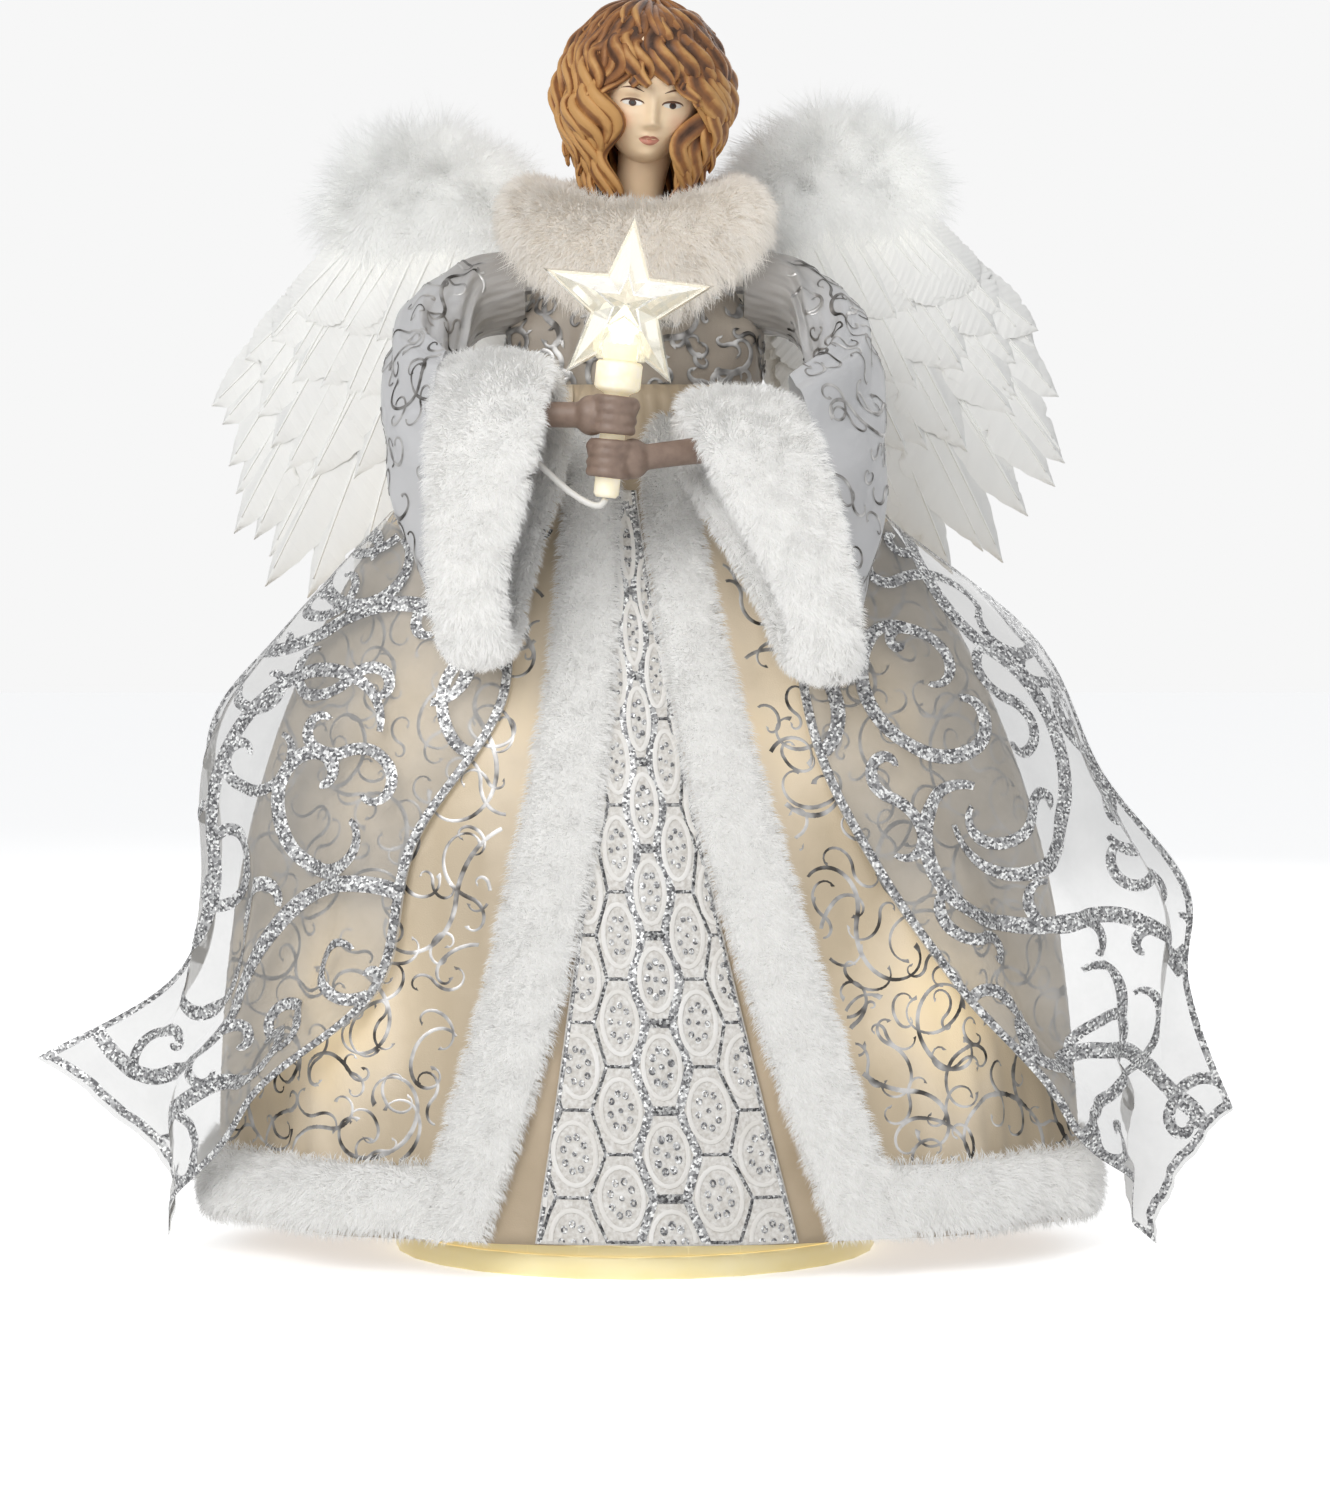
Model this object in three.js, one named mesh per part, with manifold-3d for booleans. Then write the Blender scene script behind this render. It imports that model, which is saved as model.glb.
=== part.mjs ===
// Lit angel tree topper. Millimetres, +Z up; the figure faces -Y; left and right are the viewer's.
// The origin is the centre of the foot ring's underside, where the top of the tree goes in.
import * as THREE from 'three';
import { mergeVertices } from 'three/addons/utils/BufferGeometryUtils.js';
import Module from 'manifold-3d';

const wasm = await Module();
wasm.setup();

// Fits
const GAP = 0.3; // between pieces that touch
const SHOULDER_PLAY = 1.5; // between the collar and the sleeves that turn under it

// Foot ring and cone
const BASE_RADIUS = 60;
const RING_HEIGHT = 8;
const RING_FLOOR = 2.4;
const RING_WALL = 2.2;
const RING_LEDGE = 8; // how far the floor reaches in under the cone
const RING_STEP = 1; // the upper band stands this much further in
const RING_STEP_HEIGHT = 2.6;
const SHELF_FOOT = 0.4; // the battery box's shelf, above the floor
const SHELF_THICK = 3;
const SHELF_WIDTH = 20;
const SHELF_CENTRE = 8;
const SHELF_REACH = 11.2; // how far the shelf reaches under the box
const SHELF_ROOT = 2; // how far it runs into the ring
const CONE_HEIGHT = 184;
const CONE_TOP_RADIUS = 14;
const CONE_WALL = 1.6;
const ROUND_SIDES = 28;

// Torso
const TORSO_SPIGOT = 8;
const WAIST_HALF_WIDTH = 16;
const WAIST_HALF_DEPTH = 12.5;
const CHEST_HALF_WIDTH = 25;
const CHEST_HALF_DEPTH = 16;
const SHOULDER_RISE = 52; // from the cone's top to the line of the arms
const SHOULDER_CROWN = 12; // from the line of the arms to the torso's top
const CROWN_HALF_WIDTH = 14;
const CROWN_HALF_DEPTH = 11;
const LEAD_CHANNEL = 3.4;
const LEAD_ENTRY = 5.4;
const BODICE_CLOTH = 1.2;
const BODICE_RISE = 4; // from the cone's top to the bodice's lower edge
const BODICE_DROP = 3; // from the arm wire to its upper edge

// Head, hair and collar
const NECK_RADIUS = 7;
const NECK_DEPTH = 6; // set into the torso
const NECK_RISE = 22; // from the torso's top to the middle of the skull's underside
const SKULL = { width: 28, depth: 32, height: 39 };
const HEAD_SHIFT = { x: 3, y: -5 };
const HEAD_TILT = { nod: 9, lean: 4, turn: 8 }; // degrees
const HAIR_FULLNESS = 5.5;
const CURL_RADIUS = 6.5;
const COLLAR = {
  halfWidth: 27, front: 26, back: 20, furHalf: 8, tuck: 5, sideHalf: 8, frontHalf: 14, backHalf: 11,
};

// Skirts
const SKIRT_RISE = 28; // from the cone's top to the skirts' upper edge
const SKIRT_TOP_HALF_WIDTH = 31;
const SKIRT_HEM_HALF_WIDTH = 103;
const SKIRT_HEM_FRONT = 62;
const SKIRT_HEM_BACK = 66;
const SKIRT_SWAY = 4; // the hem hangs this far to the right
const SIDE_BELL = 2.95; // higher is rounder
const DEPTH_BELL = 1.3;
const SKIRT_ROWS = 6;
const FRONT_ANGLE = 50; // degrees from the front within which the robe follows its front edges
const FOLDS = 12;
const FOLD_DEPTH = 4.5;
const SKIRT_CLOTH = 0.8;
const ROBE_LIFT = 1.6; // between the underskirt and the robe
const LACE_TOP_WIDTH = 5;
const LACE_HEM_WIDTH = 62;
const LACE_TOP_SHIFT = -2;
const LACE_HEM_SHIFT = 8;
const LACE_PLEAT = 4;
const LACE_DROP = 4; // from the upper ends of the fur trims
const TRIM_RISE = 6; // from the cone's top to the upper ends of the fur trims
const FUR_TRIM_TOP = 11;
const FUR_TRIM_WIDTH = 18;
const FUR_DEPTH = 8;
const FUR_CLEAR = 1.2; // from the underskirt to the back of the fur
const FUR_HEM_HEIGHT = 20;
const TRIMS = {
  left: { top: -10, hem: -44, bend: 2 },
  right: { top: 8, hem: 56, bend: 1.4 },
};

// Capes: each edge runs from top to tip as half-width and height over the foot
const CAPE_CLOTH = 0.8;
const CAPE_FOLD = 5;
const CAPE_CLEAR = 4; // from the fur hem to a cape over it
const CAPE_EASE = { from: 10, to: 40 }; // above the hem, where a cape starts to stand off it
const CAPES = {
  left: {
    inner: [[33, 176], [30, 139], [51, 104], [58, 70], [80, 42], [106, 3]],
    outer: [[60, 184], [88, 154], [105, 130], [103, 97], [112, 68], [148, 47]],
  },
  right: {
    inner: [[36, 176], [42, 130], [58, 95], [80, 59], [100, 26], [128, 2]],
    outer: [[60, 184], [100, 152], [116, 118], [136, 90], [136, 66], [148, 34]],
  },
};

// Arms. Each sleeve is a row of stations from the shoulder to the mouth.
const SLEEVE_ROOT_RADIUS = 10.5;
const SLEEVE_CLOTH = 1;
const SLEEVE_FOLD = 1.2;
const SLEEVE_REACH = [0, 13, 23, 26, 24]; // outwards from the root
const SLEEVE_FORWARD = [0, 1, 11, 28, 48];
const SLEEVE_TOP = [10.5, 8.5, 2, -7, -16]; // above the line of the arms
const SLEEVE_BOTTOM = [-10.5, -14, -31, -51, -86];
const SLEEVE_HALF_WIDTH = [10.5, 11, 10.5, 9, 12];
const SLEEVE_HEADING = [180, 190, 235, 275, 345]; // degrees, for the left arm
const CUFF_WIDTH = 24;
const CUFF_FUR = 6;
const CUFF_LEAN = { left: 0, right: 13 }; // degrees
const CUFF_DROP = { left: 0, right: 5 };
const WRIST_RADIUS = 3.4;
const ELBOW_RADIUS = 4.6;
const WIRE_RADIUS = 1;
const FINGER_RADIUS = 1.5;
const FINGER_PITCH = 2.3;

// Candle and star
const CANDLE_AT = { x: -5, forward: 59, below: 37 }; // from the line of the arms
const CANDLE_TILT = 6; // degrees, its top to the right
const CANDLE_RADIUS = 3;
const CANDLE_TAIL = 15;
const FIST_RISE = { left: 4.6, right: -5.8 };
const CUP_RADIUS = 5.5;
const CUP_HEIGHT = 6.5;
const CUP_FOOT = 10.8; // above the middle of the candle
const NOZZLE_RADIUS = 4;
const NOZZLE_HEIGHT = 4;
const STAR_RADIUS = 21.5;
const STAR_NOTCH = 8.8;
const STAR_THICK = 13;
const STAR_EDGE = 2;
const STAR_RISE = 13.5; // from the cup's top to the star's centre
const LAMP_RADIUS = 2.4;
const LAMP_HEIGHT = 8;
const LEAD_RADIUS = 0.8;
const LEAD_SAG = 3;

// Wings
const WING_PIN = { out: 13, back: 29 };
const WING_SWEEP = 10; // degrees
const WING_ROLL = { left: 0, right: 6 };
const BRACKET_HEIGHT = 18;
const BRACKET_PLATE = 3;
const TUBE_WALL = 1.7;
const CARD_THICK = 1.2;
const FEATHER_THICK = 0.7;
const FEATHER_STEP = 0.45; // each second feather lies this far forward
const ARCH = { start: [6, 4], peak: [36, 37], end: [60, 14] }; // out, above the line of the arms
const LONG_FEATHERS = 8;
const LONG_FEATHER = 112;
const OUTER_FEATHER = 50;
const LONG_FEATHER_WIDTH = 17;
const SHORT_FEATHERS = 6;
const SHORT_FEATHER = 46;
const SHORT_FEATHER_WIDTH = 15;
const FEATHER_FAN = [47, 77]; // degrees below level, outermost and innermost
const DOWN_RADIUS = 15;
const DOWN_HALF_DEPTH = 10;
const DOWN_SLOT = { root: 12, tip: 8, rise: 2, out: 34, below: 40, foot: 60 }; // room for the feathers' roots

// Lamps in the cone and their string
const CONE_LAMP_RADIUS = 2;
const CONE_LAMP_LENGTH = 7;
const CONE_LAMP_FLANGE = 3.2;
const FLANGE_GAP = 0.6;
const FLANGE_THICK = 1.2;
const LAMP_TAIL = 2.5;
const LAMP_ROWS = [48, 110]; // above the cone's foot
const LAMP_ANGLES = [65, 115]; // degrees from the front, each side
const STRING_RADIUS = 0.8;

// Battery box
const BOX = { width: 40, depth: 16, height: 58, wall: 1.6, front: 16 };
const CELL_RADIUS = 5.25;
const CELL_LENGTH = 44.5;
const CELL_NIB = { radius: 1.9, height: 0.8 };
const CELL_PITCH = 11.6;
const COVER_THICK = 1.4;
const COVER_GROOVE = 0.9;
const COVER_LAND = 1; // from the box's front to the cover's groove
const GRIP = { half: 6, rise: 6, pitch: 2.4, rib: 1, height: 0.8, count: 3 };
const STRIP = { thick: 0.6, half: 3, spare: 4 };
const SPRING = { radius: 3.2, wire: 0.4, turns: 3 };
const SWITCH = { slotX: -10, slotY: 6.84, slotLength: 9, slotWidth: 3.4, knob: 4, plate: 1.2, foot: 0.8 };
const SWITCH_PLATE = { inner: 3, outer: 2, side: 0.6 }; // past the knob
const SCREW = { head: 2.6, shank: 1.2, headHeight: 1.2, length: 5, pitch: 11.2, behind: 10.88, sink: 0.1 };

// Heights and radii that follow from the sizes above
const coneBottom = RING_FLOOR + GAP;
const coneTop = coneBottom + CONE_HEIGHT;
const coneFoot = BASE_RADIUS - RING_STEP - RING_WALL - GAP;
const armsZ = coneTop + SHOULDER_RISE;
const torsoTop = armsZ + SHOULDER_CROWN;
const skirtTop = coneTop + SKIRT_RISE;
const bodiceInner = 2 * GAP; // over the torso
const bodiceOuter = bodiceInner + BODICE_CLOTH;
const skirtTopDepth = CHEST_HALF_DEPTH + bodiceOuter + GAP + SKIRT_CLOTH;
const sleeveRoot = CHEST_HALF_WIDTH + bodiceOuter + GAP;
const furInner = FUR_CLEAR; // over the underskirt
const furOuter = furInner + FUR_DEPTH;
const robeOuter = ROBE_LIFT + SKIRT_CLOTH;
const capeInner = robeOuter + GAP;
const bodiceFoot = coneTop + BODICE_RISE;
const bodiceTop = armsZ - WIRE_RADIUS - BODICE_DROP;
const hemFoot = RING_HEIGHT + 2 * GAP;
const hemTop = hemFoot + FUR_HEM_HEIGHT;
const trimTop = coneTop + TRIM_RISE;
const boxFoot = SHELF_THICK + GAP;
const boxTop = boxFoot + BOX.height;
const coneSlope = (coneFoot - CONE_TOP_RADIUS) / CONE_HEIGHT;
const coneOuter = (z) => coneFoot - (z - coneBottom) * coneSlope;

const LOOKS = {
  ring: [0xf1e7b4, 0.5, 0], card: [0xe8e2d4, 0.8, 0], torso: [0xded8cc, 0.7, 0], skin: [0xe6c3ab, 0.45, 0],
  hair: [0x8a4523, 0.5, 0], fur: [0xf1ece0, 0.95, 0], satin: [0xd9c5a3, 0.5, 0], organza: [0xcfc4ae, 0.55, 0],
  cape: [0xd8d8d6, 0.45, 0], silver: [0xa9a49b, 0.45, 0], lace: [0xeeebe4, 0.7, 0], feather: [0xf2efe6, 0.8, 0],
  star: [0xf4eccb, 0.12, 0], lamp: [0xfff0c0, 0.2, 0], white: [0xf0ede4, 0.5, 0], wire: [0xb9bbbd, 0.35, 0.9],
  box: [0x3a3d40, 0.5, 0], cell: [0x9aa3a8, 0.3, 0.6], dark: [0x222426, 0.5, 0],
};

const v3 = (x, y, z) => new THREE.Vector3(x, y, z);
const rad = THREE.MathUtils.degToRad;
const lerp = THREE.MathUtils.lerp;
const group = new THREE.Group();
group.name = 'angel_tree_topper';

// Puts one solid into the assembly as a named piece.
function add(name, solid, look) {
  const raw = solid.getMesh();
  const geometry = new THREE.BufferGeometry();
  geometry.setAttribute('position', new THREE.BufferAttribute(new Float32Array(raw.vertProperties), 3));
  geometry.setIndex(new THREE.BufferAttribute(new Uint32Array(raw.triVerts), 1));
  geometry.computeVertexNormals();
  const [color, roughness, metalness] = LOOKS[look];
  const mesh = new THREE.Mesh(geometry, new THREE.MeshStandardMaterial({ color, roughness, metalness }));
  mesh.name = name;
  group.add(mesh);
}

// A solid from a closed set of faces, turned right side out.
function closed(positions, faces) {
  let volume = 0;
  const corner = (n) => v3().fromArray(positions, 3 * n);
  for (let f = 0; f < faces.length; f += 3) {
    volume += corner(faces[f]).dot(corner(faces[f + 1]).cross(corner(faces[f + 2])));
  }
  const triangles = volume < 0 ? faces.slice().reverse() : faces;
  return new wasm.Manifold(new wasm.Mesh({
    numProp: 3,
    vertProperties: new Float32Array(positions),
    triVerts: new Uint32Array(triangles),
  }));
}

function fromGeometry(geometry) {
  const bare = geometry.clone();
  bare.deleteAttribute('normal');
  bare.deleteAttribute('uv');
  const merged = mergeVertices(bare, 1e-4);
  return closed(Array.from(merged.attributes.position.array), Array.from(merged.index.array));
}

// Cloth between an outer and an inner surface, each a function of two shares from 0 to 1.
function shell(outer, inner, columns, rows, wrap) {
  const across = wrap ? columns : columns + 1;
  const positions = [];
  for (const face of [outer, inner]) {
    for (let j = 0; j <= rows; j += 1) {
      for (let i = 0; i < across; i += 1) {
        positions.push(...face(i / columns, j / rows).toArray());
      }
    }
  }
  const layer = across * (rows + 1);
  const at = (side, i, j) => side * layer + j * across + (wrap ? i % columns : i);
  const faces = [];
  const quad = (a, b, c, d) => faces.push(a, b, c, a, c, d);
  for (let i = 0; i < columns; i += 1) {
    for (let j = 0; j < rows; j += 1) {
      quad(at(0, i, j), at(0, i + 1, j), at(0, i + 1, j + 1), at(0, i, j + 1));
      quad(at(1, i, j), at(1, i, j + 1), at(1, i + 1, j + 1), at(1, i + 1, j));
    }
    quad(at(0, i, 0), at(1, i, 0), at(1, i + 1, 0), at(0, i + 1, 0));
    quad(at(0, i, rows), at(0, i + 1, rows), at(1, i + 1, rows), at(1, i, rows));
  }
  for (let j = 0; !wrap && j < rows; j += 1) {
    quad(at(0, 0, j), at(0, 0, j + 1), at(1, 0, j + 1), at(1, 0, j));
    quad(at(0, columns, j), at(1, columns, j), at(1, columns, j + 1), at(0, columns, j + 1));
  }
  return closed(positions, faces);
}

// A bar with closed ends: point(share along, angle around).
function bar(point, sides, steps) {
  const positions = [];
  const middle = [v3(), v3()];
  for (let j = 0; j <= steps; j += 1) {
    for (let i = 0; i < sides; i += 1) {
      const p = point(j / steps, (2 * Math.PI * i) / sides);
      positions.push(...p.toArray());
      if (j === 0) middle[0].addScaledVector(p, 1 / sides);
      if (j === steps) middle[1].addScaledVector(p, 1 / sides);
    }
  }
  positions.push(...middle[0].toArray(), ...middle[1].toArray());
  const start = sides * (steps + 1);
  const faces = [];
  for (let i = 0; i < sides; i += 1) {
    const n = (i + 1) % sides;
    for (let j = 0; j < steps; j += 1) {
      const [a, b] = [j * sides, (j + 1) * sides];
      faces.push(a + i, a + n, b + n, a + i, b + n, b + i);
    }
    faces.push(start, n, i, start + 1, steps * sides + i, steps * sides + n);
  }
  return closed(positions, faces);
}

// A ring closed both ways: point(angle along, angle around).
function ring(point, sides, steps) {
  const positions = [];
  const faces = [];
  for (let j = 0; j < steps; j += 1) {
    for (let i = 0; i < sides; i += 1) {
      positions.push(...point((2 * Math.PI * j) / steps, (2 * Math.PI * i) / sides).toArray());
      const [a, b, n] = [j * sides, ((j + 1) % steps) * sides, (i + 1) % sides];
      faces.push(a + i, a + n, b + n, a + i, b + n, b + i);
    }
  }
  return closed(positions, faces);
}

// A turned solid about Z from a closed profile of radius and height.
function turned(profile, sides) {
  const points = [...profile, profile[0]].map(([r, z]) => new THREE.Vector2(r, z));
  return fromGeometry(new THREE.LatheGeometry(points, sides).rotateX(Math.PI / 2));
}

function rod(radius, from, to, sides) {
  return turned([[0, from], [radius, from], [radius, to], [0, to]], sides);
}

// A round tube along a curve.
function tube(curve, radius, sides, steps) {
  const corners = [];
  for (let i = 0; i < sides; i += 1) {
    const a = (2 * Math.PI * i) / sides;
    corners.push(new THREE.Vector2(radius * Math.cos(a), radius * Math.sin(a)));
  }
  const options = { steps, extrudePath: curve, bevelEnabled: false };
  return fromGeometry(new THREE.ExtrudeGeometry(new THREE.Shape(corners), options));
}

function through(points) {
  return new THREE.CatmullRomCurve3(points, false, 'centripetal');
}

function box(x0, x1, y0, y1, z0, z1) {
  const geometry = new THREE.BoxGeometry(x1 - x0, y1 - y0, z1 - z0);
  return fromGeometry(geometry.translate((x0 + x1) / 2, (y0 + y1) / 2, (z0 + z1) / 2));
}

function ball(centre, half, sides) {
  const geometry = new THREE.SphereGeometry(1, sides, Math.round(sides * 0.7)).rotateX(Math.PI / 2);
  return fromGeometry(geometry.scale(...half).translate(...centre));
}

// A plate cut from an outline in X and Z, with its back the given distance forward, to -Y.
function plate(shape, forward, thick, segments) {
  const options = { depth: thick, bevelEnabled: false, curveSegments: segments };
  const geometry = new THREE.ExtrudeGeometry(shape, options).rotateX(Math.PI / 2);
  return fromGeometry(geometry.translate(0, -forward, 0));
}

function moved(solid, matrix) {
  return solid.transform(Array.from(matrix.elements));
}

function joined(solids) {
  return solids.reduce((sum, next) => sum.add(next));
}

// The main body of a solid whose cuts may have left crumbs
function largest(solid) {
  return solid.decompose().sort((a, b) => b.volume() - a.volume())[0];
}

// A smooth value through evenly spaced stations.
function along(values, share) {
  const t = share * (values.length - 1);
  const k = Math.min(Math.floor(t), values.length - 2);
  const value = (n) => {
    if (n < 0) return 2 * values[0] - values[1];
    if (n >= values.length) return 2 * values[values.length - 1] - values[values.length - 2];
    return values[n];
  };
  const [a, b, c, d, f] = [value(k - 1), value(k), value(k + 1), value(k + 2), t - k];
  return b + 0.5 * f * (c - a + f * (2 * a - 5 * b + 4 * c - d + f * (3 * (b - c) + d - a)));
}

// Foot ring with the shelf for the battery box
function makeFoot() {
  const top = BASE_RADIUS - RING_STEP;
  const wall = top - RING_WALL;
  const stepZ = RING_HEIGHT - RING_STEP_HEIGHT;
  const inner = wall - RING_LEDGE;
  const foot = turned([
    [inner, 0], [BASE_RADIUS, 0], [BASE_RADIUS, stepZ], [top, stepZ],
    [top, RING_HEIGHT], [wall, RING_HEIGHT], [wall, RING_FLOOR], [inner, RING_FLOOR],
  ], ROUND_SIDES);
  const shelfFront = BOX.front + BOX.depth - SHELF_REACH;
  const [left, right] = [SHELF_CENTRE - SHELF_WIDTH / 2, SHELF_CENTRE + SHELF_WIDTH / 2];
  const shelfBack = Math.sqrt(inner ** 2 - right ** 2) + SHELF_ROOT;
  let solid = foot.add(box(left, right, shelfFront, shelfBack, SHELF_FOOT, SHELF_THICK));
  const headTop = SHELF_FOOT + SCREW.headHeight + GAP;
  for (const [x, y] of screwPlaces()) {
    solid = solid.subtract(rod(SCREW.head + GAP, -1, headTop, 12).translate(x, y, 0));
    solid = solid.subtract(rod(SCREW.shank + GAP, 0, SHELF_THICK + 1, 12).translate(x, y, 0));
  }
  add('foot_ring', solid, 'ring');
}

function screwPlaces() {
  const y = BOX.front + SCREW.behind;
  return [[SHELF_CENTRE - SCREW.pitch / 2, y], [SHELF_CENTRE + SCREW.pitch / 2, y]];
}

// Where the cone's lamps sit: angle from the front and height
function lampPlaces() {
  const places = [];
  for (const row of LAMP_ROWS) {
    for (const side of [-1, 1]) {
      for (const angle of LAMP_ANGLES) {
        places.push({ angle: side * angle, z: coneBottom + row });
      }
    }
  }
  return places;
}

// Stands a solid on the cone's surface with its Z pointing straight out of the cloth side.
function onCone(solid, place) {
  const tilt = THREE.MathUtils.radToDeg(Math.atan(coneSlope));
  const a = rad(place.angle);
  const r = coneOuter(place.z);
  return solid.rotate([90 - tilt, 0, 0]).rotate([0, 0, place.angle])
    .translate(r * Math.sin(a), -r * Math.cos(a), place.z);
}

function makeCone() {
  let cone = turned([
    [coneFoot - CONE_WALL, coneBottom], [coneFoot, coneBottom],
    [CONE_TOP_RADIUS, coneTop], [CONE_TOP_RADIUS - CONE_WALL, coneTop],
  ], ROUND_SIDES);
  const hole = rod(CONE_LAMP_RADIUS + 2 * GAP, -4 * CONE_WALL, 4 * CONE_WALL, 8);
  for (const place of lampPlaces()) {
    cone = cone.subtract(onCone(hole, place));
  }
  add('cone_former', cone, 'card');
  const flangeTop = -CONE_WALL - FLANGE_GAP;
  const flangeFoot = flangeTop - FLANGE_THICK;
  const lamp = turned([
    [0, flangeFoot - LAMP_TAIL], [0.7 * CONE_LAMP_RADIUS, flangeFoot - LAMP_TAIL],
    [0.7 * CONE_LAMP_RADIUS, flangeFoot], [CONE_LAMP_FLANGE, flangeFoot], [CONE_LAMP_FLANGE, flangeTop],
    [CONE_LAMP_RADIUS, flangeTop], [CONE_LAMP_RADIUS, 0.75 * CONE_LAMP_LENGTH], [0, CONE_LAMP_LENGTH],
  ], 6);
  lampPlaces().forEach((place, n) => add(`cone_lamp_${n + 1}`, onCone(lamp, place), 'lamp'));
}

// Half-width and half-depth of the torso at a height
function torsoHalf(z) {
  const share = THREE.MathUtils.clamp((z - coneTop) / (torsoTop - coneTop), 0, 1);
  const [wide, deep] = [CHEST_HALF_WIDTH, CHEST_HALF_DEPTH];
  const width = [WAIST_HALF_WIDTH, 0.9 * wide, wide, wide, CROWN_HALF_WIDTH];
  const depth = [WAIST_HALF_DEPTH, 0.92 * deep, deep, 0.86 * deep, CROWN_HALF_DEPTH];
  return [
    Math.min(along(width, share), CHEST_HALF_WIDTH),
    Math.min(along(depth, share), CHEST_HALF_DEPTH),
  ];
}

function torsoPoint(z, angle, grow) {
  const [w, d] = torsoHalf(z);
  return v3((w + grow) * Math.sin(angle), -(d + grow) * Math.cos(angle), z);
}

function torsoBlock(from, to, grow) {
  return bar((t, a) => torsoPoint(lerp(from, to, t), a, grow), 16, 6);
}

function makeTorso() {
  const foot = coneTop + GAP;
  let torso = torsoBlock(foot, torsoTop, 0);
  const spigot = CONE_TOP_RADIUS - CONE_WALL - 2 * GAP;
  torso = torso.add(rod(spigot, coneTop - TORSO_SPIGOT, foot + 1, ROUND_SIDES / 2));
  torso = torso.subtract(rod(NECK_RADIUS + 2 * GAP, torsoTop - NECK_DEPTH - GAP, torsoTop + 5, 12));
  torso = torso.subtract(rod(LEAD_CHANNEL, coneTop - 2 * TORSO_SPIGOT, armsZ, 8));
  const reach = 2 * CHEST_HALF_WIDTH;
  const wireBore = rod(WIRE_RADIUS + GAP, -reach, reach, 8).rotate([0, 90, 0]);
  torso = torso.subtract(wireBore.translate(0, 0, armsZ));
  const entry = rod(LEAD_ENTRY, 0, reach, 10).rotate([0, -90, 0]);
  torso = torso.subtract(entry.translate(-0.4 * LEAD_CHANNEL, 0, armsZ));
  add('torso_form', torso, 'torso');
  const cloth = (grow) => (u, v) => torsoPoint(lerp(bodiceFoot, bodiceTop, v), 2 * Math.PI * u, grow);
  add('bodice', shell(cloth(bodiceOuter), cloth(bodiceInner), 16, 6, true), 'silver');
}

// The head's own frame: origin in the middle of the skull
function headFrame() {
  const nod = new THREE.Matrix4().makeRotationX(rad(HEAD_TILT.nod));
  const lean = new THREE.Matrix4().makeRotationY(rad(HEAD_TILT.lean));
  const turn = new THREE.Matrix4().makeRotationZ(rad(HEAD_TILT.turn));
  const z = torsoTop + NECK_RISE + SKULL.height / 2 - 3;
  const place = new THREE.Matrix4().makeTranslation(HEAD_SHIFT.x, HEAD_SHIFT.y, z);
  return place.multiply(turn).multiply(lean).multiply(nod);
}

function headSolid(grow) {
  const half = [SKULL.width / 2 + grow, SKULL.depth / 2 + grow, SKULL.height / 2 + grow];
  const nose = ball([0, -0.47 * SKULL.depth, -0.12 * SKULL.height], [1.7 + grow, 2.6 + grow, 3 + grow], 6);
  const chin = ball([0, -0.24 * SKULL.depth, -0.36 * SKULL.height], [6 + grow, 6 + grow, 5.5 + grow], 8);
  const skull = moved(joined([ball([0, 0, 0], half, 12), nose, chin]), headFrame());
  const neckFoot = torsoTop - NECK_DEPTH;
  const neckTop = torsoTop + NECK_RISE;
  const neck = bar((t, a) => {
    const swell = NECK_RADIUS + grow - 1.2 * Math.sin(Math.PI * t);
    const lean = t * t;
    return v3(
      HEAD_SHIFT.x * lean + swell * Math.cos(a),
      0.6 * HEAD_SHIFT.y * lean + swell * Math.sin(a),
      lerp(neckFoot, neckTop, t),
    );
  }, 12, 4);
  return skull.add(neck);
}

// The collar's fur lies on the shoulders, the bodice and the neck.
function collarSolid(grow) {
  const shoulders = torsoBlock(coneTop, torsoTop + GAP, 2 * GAP - grow);
  const chest = torsoBlock(bodiceFoot, bodiceTop + GAP - grow, bodiceOuter + GAP - grow);
  const neck = rod(NECK_RADIUS + GAP - grow, armsZ, torsoTop + NECK_RISE, 12);
  return collarFur(grow).subtract(shoulders).subtract(chest).subtract(neck);
}

function collarFur(grow) {
  const sideZ = armsZ + SLEEVE_ROOT_RADIUS + SHOULDER_PLAY + COLLAR.sideHalf;
  const frontZ = sideZ - 13;
  const backZ = sideZ - 3;
  return ring((a, b) => {
    const front = Math.cos(a);
    const ends = front ** 2;
    const endZ = front > 0 ? frontZ : backZ;
    const endHalf = front > 0 ? COLLAR.frontHalf : COLLAR.backHalf;
    const reach = front > 0 ? COLLAR.front : COLLAR.back;
    const tall = lerp(COLLAR.sideHalf, endHalf, ends) + grow;
    const tuck = Math.cos(b) < 0 ? COLLAR.tuck : 0;
    const out = (COLLAR.furHalf + tuck + grow) * Math.cos(b);
    const z = lerp(sideZ, endZ, ends) + tall * Math.sin(b) - 0.25 * out;
    return v3((COLLAR.halfWidth + out) * Math.sin(a), -(reach + out) * front, z);
  }, 8, 20);
}

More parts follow.
